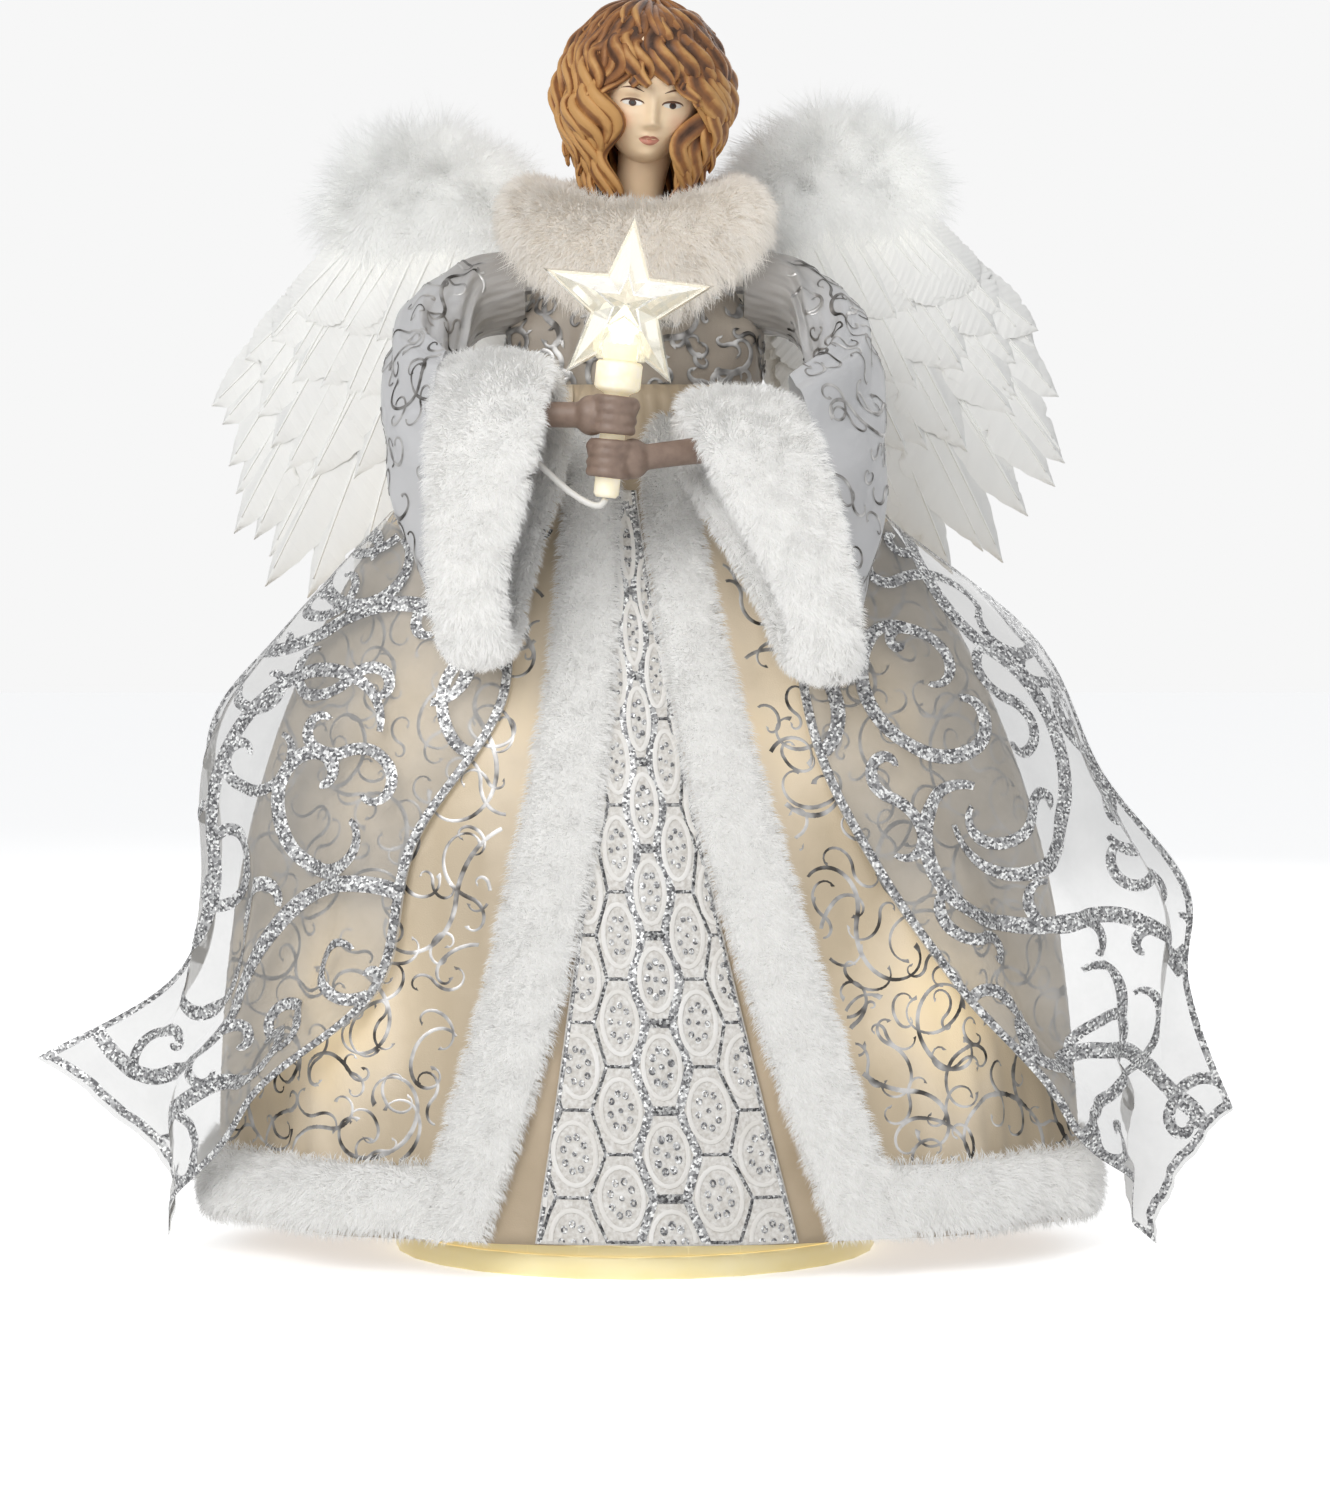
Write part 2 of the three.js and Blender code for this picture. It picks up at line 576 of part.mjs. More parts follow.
function makeHead() {
  add('head', headSolid(0), 'skin');
  const [w, d, h] = [SKULL.width / 2, SKULL.depth / 2, SKULL.height / 2];
  const grow = HAIR_FULLNESS;
  const lumps = [ball([0, 2, 1.5], [w + grow, d + 0.6 * grow, h + 0.4 * grow], 12)];
  for (const side of [-1, 1]) {
    const curls = [[0.75, -0.45, 0.62], [1.15, -0.3, 0.1], [1.2, -0.05, -0.42], [0.9, 0.1, -0.92]];
    for (const [x, y, z] of curls) {
      const size = CURL_RADIUS * (1 - 0.16 * Math.abs(z - 0.1));
      lumps.push(ball([side * x * w, y * d, z * h], [size, size, 1.15 * size], 6));
    }
  }
  for (const x of [-0.6, 0, 0.6]) {
    lumps.push(ball([x * w, 0.75 * d, -0.75 * h], [CURL_RADIUS, CURL_RADIUS, 1.3 * CURL_RADIUS], 6));
  }
  const face = ball([0, -1.15 * d, -0.35 * h], [0.78 * w, 0.95 * d, 0.82 * h], 10);
  let hair = moved(joined(lumps).subtract(face), headFrame());
  hair = hair.subtract(headSolid(GAP)).subtract(collarSolid(GAP));
  add('hair', largest(hair), 'hair');
  add('fur_collar', collarSolid(0), 'fur');
}

// A point on the skirts: angle from the front, height, and distance out from the underskirt
function skirt(angle, z, lift) {
  const share = THREE.MathUtils.clamp((skirtTop - z) / (skirtTop - RING_HEIGHT), 0, 1);
  const flare = (bell) => 1 - (1 - share) ** bell;
  const side = lerp(SKIRT_TOP_HALF_WIDTH, SKIRT_HEM_HALF_WIDTH, flare(SIDE_BELL));
  const forward = Math.cos(angle);
  const hem = forward > 0 ? SKIRT_HEM_FRONT : SKIRT_HEM_BACK;
  const depth = lerp(skirtTopDepth, hem, flare(DEPTH_BELL));
  const fold = FOLD_DEPTH * share * (0.5 - 0.5 * Math.cos(FOLDS * angle)) * Math.min(1, 1.6 - 1.2 * forward);
  const sway = SKIRT_SWAY * share;
  return v3(sway + (side + fold + lift) * Math.sin(angle), -(depth + fold + lift) * forward, z);
}

// The angle at which the skirt's front is at a given X
function skirtAngle(x, z, lift) {
  const side = skirt(Math.PI / 2, z, lift).x;
  const sway = SKIRT_SWAY * THREE.MathUtils.clamp((skirtTop - z) / (skirtTop - RING_HEIGHT), 0, 1);
  return Math.asin(THREE.MathUtils.clamp((x - sway) / (side - sway), -1, 1));
}

// Middle of a front fur trim at a height, and half its width there
function trimAt(side, z) {
  const share = THREE.MathUtils.clamp((trimTop - z) / (trimTop - hemFoot), 0, 1);
  const { top, hem, bend } = TRIMS[side];
  return [lerp(top, hem, share ** bend), lerp(FUR_TRIM_TOP, FUR_TRIM_WIDTH, Math.min(1, 2 * share)) / 2];
}

// The robe's front edge: the angle just outside a fur trim
function trimEdge(side, z) {
  const [middle, half] = trimAt(side, z);
  const out = side === 'left' ? -1 : 1;
  const lift = z > trimTop ? robeOuter : furInner;
  return skirtAngle(middle + out * (half + GAP), z, lift);
}

// Heights of the rows that the skirts' layers share, the last at the underskirt's edge
function skirtRow(n) {
  return n > SKIRT_ROWS ? hemFoot : lerp(skirtTop, hemTop + GAP, (n / SKIRT_ROWS) ** 1.25);
}

// Angle of a share of the way round an open layer, from its right front edge to its left one
function openAngle(u, z) {
  const front = rad(FRONT_ANGLE);
  const full = 2 * Math.PI;
  const angle = full * u;
  if (angle < front) return lerp(trimEdge('right', z), front, angle / front);
  const back = full - front;
  if (angle > back) return lerp(back, full + trimEdge('left', z), (angle - back) / front);
  return angle;
}

function makeSkirts() {
  const cloth = (lift) => (u, v) => skirt(2 * Math.PI * u, skirtRow(Math.round(v * (SKIRT_ROWS + 1))), lift);
  add('underskirt', shell(cloth(0), cloth(-SKIRT_CLOTH), 3 * FOLDS, SKIRT_ROWS + 1, true), 'satin');

  const robe = (thick) => (u, v) => {
    const row = Math.round(v * SKIRT_ROWS);
    const z = skirtRow(row);
    return skirt(openAngle(u, z), z, (row === 0 ? GAP : ROBE_LIFT) + thick);
  };
  add('robe_skirt', shell(robe(SKIRT_CLOTH), robe(0), 3 * FOLDS, SKIRT_ROWS, false), 'organza');

  const lace = (lift) => (u, v) => {
    const z = lerp(trimTop - LACE_DROP, hemFoot, v);
    const half = lerp(LACE_TOP_WIDTH, LACE_HEM_WIDTH, v ** 1.25) / 2;
    const across = 2 * u - 1;
    const x = betweenTrims(lerp(LACE_TOP_SHIFT, LACE_HEM_SHIFT, v) + half * across, z);
    const pleat = LACE_PLEAT * v * (1 - Math.abs(across)) ** 0.8;
    const p = skirt(skirtAngle(x, z, lift), z, lift);
    return v3(p.x, p.y - pleat, z);
  };
  add('lace_panel', shell(lace(GAP + SKIRT_CLOTH), lace(GAP), 8, 6, false), 'lace');

  for (const side of ['left', 'right']) {
    const fur = bar((t, a) => {
      const z = lerp(trimTop, hemFoot, t);
      const [middle, half] = trimAt(side, z);
      const lift = furInner + (FUR_DEPTH / 2) * (1 - Math.cos(a));
      const x = middle + half * Math.sin(a);
      return skirt(skirtAngle(x, z, furInner), z, lift);
    }, 8, 10);
    add(`fur_trim_${side}`, fur, 'fur');
  }

  const hem = bar((t, a) => {
    const z = (hemFoot + hemTop) / 2 + (FUR_HEM_HEIGHT / 2) * Math.sin(a);
    const angle = lerp(0.01, 2 * Math.PI - 0.01, t) / (2 * Math.PI);
    return skirt(openAngle(angle, z), z, furInner + (FUR_DEPTH / 2) * (1 - Math.cos(a)));
  }, 6, 3 * FOLDS);
  add('fur_hem', hem, 'fur');
}

// Keeps the lace between the two fur trims
function betweenTrims(x, z) {
  const [leftMiddle, leftHalf] = trimAt('left', z);
  const [rightMiddle, rightHalf] = trimAt('right', z);
  return THREE.MathUtils.clamp(x, leftMiddle + leftHalf + GAP, rightMiddle - rightHalf - GAP);
}

// A point of a cape: share across from the inner edge, share down, and distance out from the robe
function capePoint(side, u, v, lift) {
  const sign = side === 'left' ? -1 : 1;
  const { inner, outer } = CAPES[side];
  const edge = (points, n) => along(points.map((p) => p[n]), v);
  const zIn = Math.max(edge(inner, 1), GAP);
  const zOut = Math.max(edge(outer, 1), GAP);
  const angleIn = Math.abs(skirtAngle(sign * edge(inner, 0), zIn, capeInner));
  const angleOut = rad(lerp(88, 99, 1 - v));
  const sideOut = Math.abs(skirt(sign * angleOut, zOut, capeInner).x);
  const flareOut = Math.max(0, edge(outer, 0) - sideOut);
  const sideIn = Math.abs(skirt(sign * angleIn, zIn, capeInner).x);
  const flareIn = Math.max(0, edge(inner, 0) - sideIn);
  const z = lerp(zIn, zOut, u);
  const overHem = furOuter + CAPE_CLEAR - capeInner;
  const eased = THREE.MathUtils.smoothstep(z, hemTop + CAPE_EASE.from, hemTop + CAPE_EASE.to);
  const clear = capeInner + overHem * (1 - eased);
  const fold = CAPE_FOLD * Math.min(1, 2 * v) * (0.5 - 0.5 * Math.cos(2 * Math.PI * (3 * u + 0.4 * v)));
  const flare = lerp(flareIn, flareOut, u ** 1.6) + capeInner - clear;
  return skirt(sign * lerp(angleIn, angleOut, u), z, clear + lift + Math.max(0, flare) + fold);
}

function makeCapes() {
  for (const side of ['left', 'right']) {
    const outer = (u, v) => capePoint(side, u, v, CAPE_CLOTH);
    const inner = (u, v) => capePoint(side, u, v, 0);
    add(`cape_${side}`, shell(outer, inner, 10, 8, false), 'cape');
  }
}

const candleTop = v3(Math.sin(rad(CANDLE_TILT)), 0, Math.cos(rad(CANDLE_TILT)));
const candleMiddle = v3(CANDLE_AT.x, -CANDLE_AT.forward, armsZ - CANDLE_AT.below);

// Stands a solid made about Z on the candle's line, its zero at the candle's middle.
function onCandle(solid) {
  return solid.rotate([0, CANDLE_TILT, 0]).translate(candleMiddle.toArray());
}

function candlePoint(height) {
  return candleMiddle.clone().addScaledVector(candleTop, height);
}

// One station of a sleeve: its middle, its in-plane directions and its half-sizes
function sleeveAt(side, v) {
  const sign = side === 'left' ? 1 : -1;
  const heading = rad(along(SLEEVE_HEADING, v));
  const top = along(SLEEVE_TOP, v) - CUFF_DROP[side] * v * v;
  const bottom = along(SLEEVE_BOTTOM, v) - CUFF_DROP[side] * v * v;
  const lean = rad(CUFF_LEAN[side]) * v ** 3;
  const reach = sleeveRoot + along(SLEEVE_REACH, v);
  const y = -along(SLEEVE_FORWARD, v);
  return {
    middle: v3(-sign * reach, y, armsZ + (top + bottom) / 2),
    across: v3(-sign * Math.sin(heading), Math.cos(heading), 0),
    up: v3(-Math.sin(lean), 0, Math.cos(lean)),
    ahead: v3(sign * Math.cos(heading), Math.sin(heading), 0),
    half: along(SLEEVE_HALF_WIDTH, v),
    tall: (top - bottom) / 2,
  };
}

function sleevePoint(side, v, angle, inset) {
  const s = sleeveAt(side, v);
  const fold = SLEEVE_FOLD * v * (0.5 - 0.5 * Math.cos(6 * angle));
  return s.middle.clone()
    .addScaledVector(s.across, (s.half - fold - inset) * Math.cos(angle))
    .addScaledVector(s.up, (s.tall - fold - inset) * Math.sin(angle));
}

// The line of an arm inside its sleeve, from the shoulder to the wrist
function armLine(side, drop) {
  const sign = side === 'left' ? -1 : 1;
  const points = [0.2, 0.5, 0.75, 1].map((n) => v3(sign * n * sleeveRoot, 0, armsZ - drop));
  for (const v of [0.3, 0.5, 0.68]) {
    const s = sleeveAt(side, v);
    const z = Math.max(armsZ - 22 * v - 10 * v * v, s.middle.z - 0.4 * s.tall);
    points.push(v3(s.middle.x, s.middle.y, Math.min(z, armsZ) - drop));
  }
  return points;
}

function makeArms() {
  for (const side of ['left', 'right']) {
    const turn = (n) => 2 * Math.PI * n;
    const outer = (u, v) => sleevePoint(side, v, turn(u), 0);
    const inner = (u, v) => sleevePoint(side, v, turn(u), SLEEVE_CLOTH);
    add(`sleeve_${side}`, shell(outer, inner, 14, 6, true), 'silver');
    const mouth = sleeveAt(side, 1);
    const cuff = ring((a, b) => {
      const round = 0.5 * CUFF_FUR * Math.sin(b) + 0.17 * CUFF_FUR;
      const forward = 2 * GAP + (CUFF_WIDTH / 2) * (1 - Math.sign(Math.cos(b)) * Math.abs(Math.cos(b)) ** 0.7);
      return mouth.middle.clone()
        .addScaledVector(mouth.across, (mouth.half + round) * Math.cos(a))
        .addScaledVector(mouth.up, (mouth.tall + round) * Math.sin(a))
        .addScaledVector(mouth.ahead, forward);
    }, 8, 18);
    add(`fur_cuff_${side}`, cuff, 'fur');
  }

  const wrist = {};
  for (const side of ['left', 'right']) {
    const sign = side === 'left' ? -1 : 1;
    const fist = candlePoint(FIST_RISE[side]);
    const palm = fist.clone().add(v3(sign * (CANDLE_RADIUS + 2.4), 0.8, 0));
    const mouth = sleeveAt(side, 1);
    const elbow = mouth.middle.clone().addScaledVector(mouth.up, mouth.tall - CUFF_FUR - ELBOW_RADIUS - 5);
    elbow.addScaledVector(mouth.ahead, -2);
    const span = palm.clone().sub(elbow);
    const sideways = span.clone().cross(v3(0, 0, 1)).normalize();
    const upright = sideways.clone().cross(span).normalize();
    const forearm = bar((t, a) => {
      const r = lerp(ELBOW_RADIUS, WRIST_RADIUS, t);
      return elbow.clone().addScaledVector(span, t)
        .addScaledVector(sideways, r * Math.cos(a)).addScaledVector(upright, r * Math.sin(a));
    }, 8, 1);
    let hand = forearm.add(ball(palm.toArray(), [4.2, 4.6, 2.05 * FINGER_PITCH], 8));
    const wrap = CANDLE_RADIUS + GAP + 0.8 * FINGER_RADIUS;
    for (let n = 0; n < 4; n += 1) {
      const rise = (n - 1.5) * FINGER_PITCH;
      const bend = [];
      for (let k = 0; k <= 5; k += 1) {
        const a = rad(lerp(190, 385, k / 5));
        bend.push(v3(-sign * wrap * Math.cos(a), wrap * Math.sin(a), rise));
      }
      const finger = tube(through(bend), FINGER_RADIUS, 5, 4);
      hand = hand.add(finger.rotate([0, CANDLE_TILT, 0]).translate(fist.toArray()));
    }
    hand = hand.subtract(onCandle(rod(CANDLE_RADIUS + GAP, -40, 40, 10)));
    const socket = tube(new THREE.LineCurve3(
      elbow.clone().addScaledVector(span, -0.2), elbow.clone().addScaledVector(span, 0.25),
    ), WIRE_RADIUS + GAP, 6, 1);
    hand = hand.subtract(socket);
    add(`forearm_${side}`, largest(hand), 'skin');
    wrist[side] = [0.2, 0.1, 0, -0.03].map((n) => elbow.clone().addScaledVector(span, n));
  }

  const leftHalf = [...wrist.left, ...armLine('left', 0).reverse()];
  const rightHalf = [...armLine('right', 0), ...wrist.right.reverse()];
  add('arm_wire', tube(through([...leftHalf, ...rightHalf]), WIRE_RADIUS, 5, 44), 'wire');
}

function makeCandle() {
  const cupTop = CUP_FOOT + CUP_HEIGHT;
  const nozzleTop = cupTop + NOZZLE_HEIGHT;
  const candle = turned([
    [0, -CANDLE_TAIL], [CANDLE_RADIUS - 0.6, -CANDLE_TAIL], [CANDLE_RADIUS, -CANDLE_TAIL + 1],
    [CANDLE_RADIUS, CUP_FOOT - 1], [CUP_RADIUS, CUP_FOOT], [CUP_RADIUS, cupTop],
    [NOZZLE_RADIUS, cupTop], [NOZZLE_RADIUS, nozzleTop], [0, nozzleTop],
  ], 12);
  add('candle_socket', onCandle(candle), 'white');
  const lampFoot = nozzleTop + GAP;
  const lamp = turned([
    [0, lampFoot], [LAMP_RADIUS, lampFoot], [LAMP_RADIUS, lampFoot + 0.65 * LAMP_HEIGHT],
    [0.7 * LAMP_RADIUS, lampFoot + 0.9 * LAMP_HEIGHT], [0, lampFoot + LAMP_HEIGHT],
  ], 10);
  add('star_lamp', onCandle(lamp), 'lamp');

  const centre = cupTop + STAR_RISE;
  const positions = [0, -STAR_THICK / 2, 0, 0, STAR_THICK / 2, 0];
  const faces = [];
  for (let n = 0; n < 10; n += 1) {
    const a = Math.PI / 2 + (n * Math.PI) / 5;
    const r = n % 2 ? STAR_NOTCH : STAR_RADIUS;
    const [x, z] = [r * Math.cos(a), r * Math.sin(a)];
    positions.push(x, -STAR_EDGE / 2, z, x, STAR_EDGE / 2, z);
    const [f, g] = [2 + 2 * n, 2 + 2 * ((n + 1) % 10)];
    faces.push(0, g, f, 1, f + 1, g + 1, f, g, g + 1, f, g + 1, f + 1);
  }
  const neckFoot = cupTop + GAP;
  let star = closed(positions, faces).translate(0, 0, centre);
  star = star.add(rod(NOZZLE_RADIUS + 1.8, neckFoot, centre - 0.25 * STAR_NOTCH, 14));
  star = star.subtract(rod(NOZZLE_RADIUS + GAP, 0, nozzleTop + GAP, 14));
  star = star.subtract(rod(LAMP_RADIUS + 2 * GAP, 0, lampFoot + LAMP_HEIGHT + 2 * GAP, 12));
  add('star_cover', onCandle(star), 'star');

  const tail = candlePoint(-CANDLE_TAIL - GAP);
  const cuff = sleeveAt('left', 1);
  const mouthEnd = cuff.middle.clone().addScaledVector(cuff.ahead, CUFF_WIDTH);
  mouthEnd.addScaledVector(cuff.up, 0.3 * cuff.tall);
  const mouthIn = cuff.middle.clone().addScaledVector(cuff.up, 0.36 * cuff.tall);
  const run = armLine('left', 3.4).reverse();
  const drop = 2.9;
  const path = [
    tail, tail.clone().add(v3(-0.6, 0, -LEAD_SAG)),
    tail.clone().lerp(mouthEnd, 0.45).add(v3(0, 0, -LEAD_SAG)),
    mouthEnd, mouthIn, ...run.slice(0, -4), v3(-sleeveRoot, 0, armsZ - drop),
    v3(-0.75 * sleeveRoot, 0, armsZ - drop), v3(-LEAD_CHANNEL - 9, 0, armsZ - drop),
  ];
  add('star_lead', tube(through(path), LEAD_RADIUS, 5, 40), 'white');
  const end = path[path.length - 1];
  const inner = [
    end.clone().add(v3(GAP, 0, 0)), v3(-LEAD_CHANNEL - 2, 0, armsZ - drop), v3(-1.3, 0, armsZ - drop - 0.8),
    v3(-0.3, 0, armsZ - drop - 5), v3(0, 0, armsZ - drop - 12), v3(0, 0, coneTop), v3(0, 0, coneTop - 20),
    v3(0, 0.35 * coneOuter(coneTop - 50), coneTop - 50), v3(-3, 0.62 * coneOuter(boxTop + 30), boxTop + 30),
    v3(-6, BOX.front + 0.7 * BOX.depth, boxTop + 6), v3(-6, BOX.front + 0.6 * BOX.depth, boxTop + GAP),
  ];
  add('body_lead', tube(through(inner), LEAD_RADIUS, 5, 24), 'white');
}

// One feather, pointing down from its root at the origin
function featherShape(length, width) {
  const half = width / 2;
  const shape = new THREE.Shape();
  shape.moveTo(-0.12 * width, 0);
  shape.lineTo(0.12 * width, 0);
  shape.bezierCurveTo(half, -0.12 * length, 1.15 * half, -0.75 * length, 0.25 * half, -length);
  shape.lineTo(-0.25 * half, -length);
  shape.bezierCurveTo(-1.15 * half, -0.75 * length, -half, -0.12 * length, -0.12 * width, 0);
  return shape;
}

function archPoint(t) {
  const curve = new THREE.QuadraticBezierCurve(
    new THREE.Vector2(...ARCH.start), new THREE.Vector2(...ARCH.peak), new THREE.Vector2(...ARCH.end),
  );
  return curve.getPoint(t);
}

function featherRow(count, forward, size) {
  const feathers = [];
  for (let n = 0; n < count; n += 1) {
    const share = n / (count - 1);
    const { length, width, below } = size(share);
    const root = archPoint(lerp(0.95, 0.3, share));
    const slant = lerp(...FEATHER_FAN, share) - 90;
    const level = forward + (n % 2) * FEATHER_STEP;
    const feather = plate(featherShape(length, width), level, FEATHER_THICK, 2);
    feathers.push(feather.rotate([0, slant, 0]).translate(root.x, 0, root.y - below));
  }
  return joined(feathers);
}

function makeWings() {
  const bracketFoot = skirtTop + 2 * GAP + 1;
  const bracketTop = bracketFoot + BRACKET_HEIGHT;
  const back = CHEST_HALF_DEPTH + bodiceOuter + GAP;
  const tubeRadius = WIRE_RADIUS + GAP + TUBE_WALL;
  let bracket = box(-WING_PIN.out - 2, WING_PIN.out + 2, back, back + BRACKET_PLATE, bracketFoot, bracketTop);
  for (const x of [-WING_PIN.out, WING_PIN.out]) {
    bracket = bracket.add(box(x - 1.5, x + 1.5, back + 1, WING_PIN.back, bracketFoot, bracketTop));
    bracket = bracket.add(rod(tubeRadius, bracketFoot, bracketTop, 14).translate(x, WING_PIN.back, 0));
  }
  for (const x of [-WING_PIN.out, WING_PIN.out]) {
    const bore = rod(WIRE_RADIUS + GAP, bracketFoot - 1, bracketTop + 1, 12);
    bracket = bracket.subtract(bore.translate(x, WING_PIN.back, 0));
  }
  add('wing_bracket', bracket, 'white');

  const cardAt = WIRE_RADIUS + GAP;
  const longAt = cardAt + CARD_THICK + GAP;
  const rowThick = FEATHER_THICK + FEATHER_STEP;
  const shortAt = longAt + rowThick + GAP;
  const frontAt = shortAt + rowThick + GAP;

  const [a, b, c] = [ARCH.start, ARCH.peak, ARCH.end];
  const cardShape = new THREE.Shape();
  cardShape.moveTo(a[0], a[1]);
  cardShape.quadraticCurveTo(b[0], b[1], c[0], c[1]);
  cardShape.lineTo(c[0] - 8, c[1] - 16);
  cardShape.quadraticCurveTo(b[0] - 4, a[1] - 12, a[0], a[1] - 12);
  const card = plate(cardShape, cardAt, CARD_THICK, 8);

  const long = featherRow(LONG_FEATHERS, longAt, (f) => ({
    length: lerp(OUTER_FEATHER, LONG_FEATHER, Math.sin(0.8 * Math.PI * f)),
    width: LONG_FEATHER_WIDTH,
    below: 3,
  }));
  const short = featherRow(SHORT_FEATHERS, shortAt, (f) => ({
    length: lerp(0.75 * SHORT_FEATHER, SHORT_FEATHER, Math.sin(Math.PI * f)),
    width: SHORT_FEATHER_WIDTH,
    below: 2,
  }));

  const slotShape = new THREE.Shape();
  slotShape.moveTo(a[0] - DOWN_SLOT.root, a[1] - DOWN_SLOT.root);
  slotShape.lineTo(a[0] - 2 * GAP, a[1] + 2 * GAP);
  slotShape.quadraticCurveTo(b[0], b[1] + 4 * GAP, c[0] + DOWN_SLOT.tip, c[1] + DOWN_SLOT.rise);
  slotShape.lineTo(c[0] + DOWN_SLOT.out, c[1] - DOWN_SLOT.below);
  slotShape.lineTo(a[0], a[1] - DOWN_SLOT.foot);
  const slot = plate(slotShape, -WIRE_RADIUS - GAP, frontAt + WIRE_RADIUS + GAP, 8);
  const lumps = [];
  for (const t of [0.28, 0.45, 0.62, 0.78, 0.94]) {
    const p = archPoint(t);
    const size = DOWN_RADIUS * (1 - 0.9 * (t - 0.55) ** 2);
    lumps.push(ball([p.x, -0.4 * frontAt, p.y + 0.25 * DOWN_RADIUS], [size, DOWN_HALF_DEPTH, size], 8));
  }
  const down = joined(lumps).subtract(slot);

  const pin = [-1, 6, 12, BRACKET_HEIGHT, BRACKET_HEIGHT + 2].map((z) => v3(0, 0, bracketFoot + z - armsZ));
  const bend = [0.1, 0.3, 0.55, 0.8].map((t) => v3(archPoint(t).x, 0, archPoint(t).y - 4));
  const stopFoot = bracketTop + GAP - armsZ;
  const stop = rod(WIRE_RADIUS + 0.9, stopFoot, stopFoot + 1.4, 8);

  for (const side of ['left', 'right']) {
    const x = side === 'left' ? -WING_PIN.out : WING_PIN.out;
    const swept = (solid) => {
      const right = solid.rotate([0, 0, WING_SWEEP]);
      const set = side === 'left' ? right.mirror([1, 0, 0]) : right;
      return set.translate(x, WING_PIN.back, armsZ);
    };
    const place = (solid) => swept(solid.rotate([0, -WING_ROLL[side], 0]));
    const rolled = bend.map((p) => p.clone().applyAxisAngle(v3(0, 1, 0), -rad(WING_ROLL[side])));
    const wire = tube(through([...pin, ...rolled]), WIRE_RADIUS, 6, 16).add(stop);
    add(`wing_wire_${side}`, swept(wire), 'wire');
    add(`wing_card_${side}`, place(card), 'card');
    add(`long_feathers_${side}`, place(long), 'feather');
    add(`short_feathers_${side}`, place(short), 'feather');
    add(`wing_down_${side}`, place(down), 'feather');
  }
}

// The string that feeds the cone's lamps, wound inside the cone
class LampString extends THREE.Curve {
  getPoint(t) {
    const inset = CONE_WALL + FLANGE_GAP + FLANGE_THICK + LAMP_TAIL + GAP + STRING_RADIUS;
    const [low, high] = LAMP_ROWS.map((row) => coneBottom + row);
    const out = LAMP_ANGLES[1];
    const angles = [172, 140, out, 0, -out, -out - 12, -out, 0, out];
    const heights = [boxTop + 4, boxTop + 5, low, low, low, (low + high) / 2, high, high, high];
    const reaches = [0.72, 1, 1, 1, 1, 1, 1, 1, 1];
    const flat = (values) => {
      const s = t * (values.length - 1);
      const k = Math.min(Math.floor(s), values.length - 2);
      return lerp(values[k], values[k + 1], THREE.MathUtils.smoothstep(s - k, 0, 1));
    };
    const angle = rad(flat(angles));
    const z = flat(heights);
    const drop = inset * Math.sin(Math.atan(coneSlope));
    const r = flat(reaches) * (coneOuter(z) - inset * Math.cos(Math.atan(coneSlope)));
    return v3(r * Math.sin(angle), -r * Math.cos(angle), z - drop);
  }
}

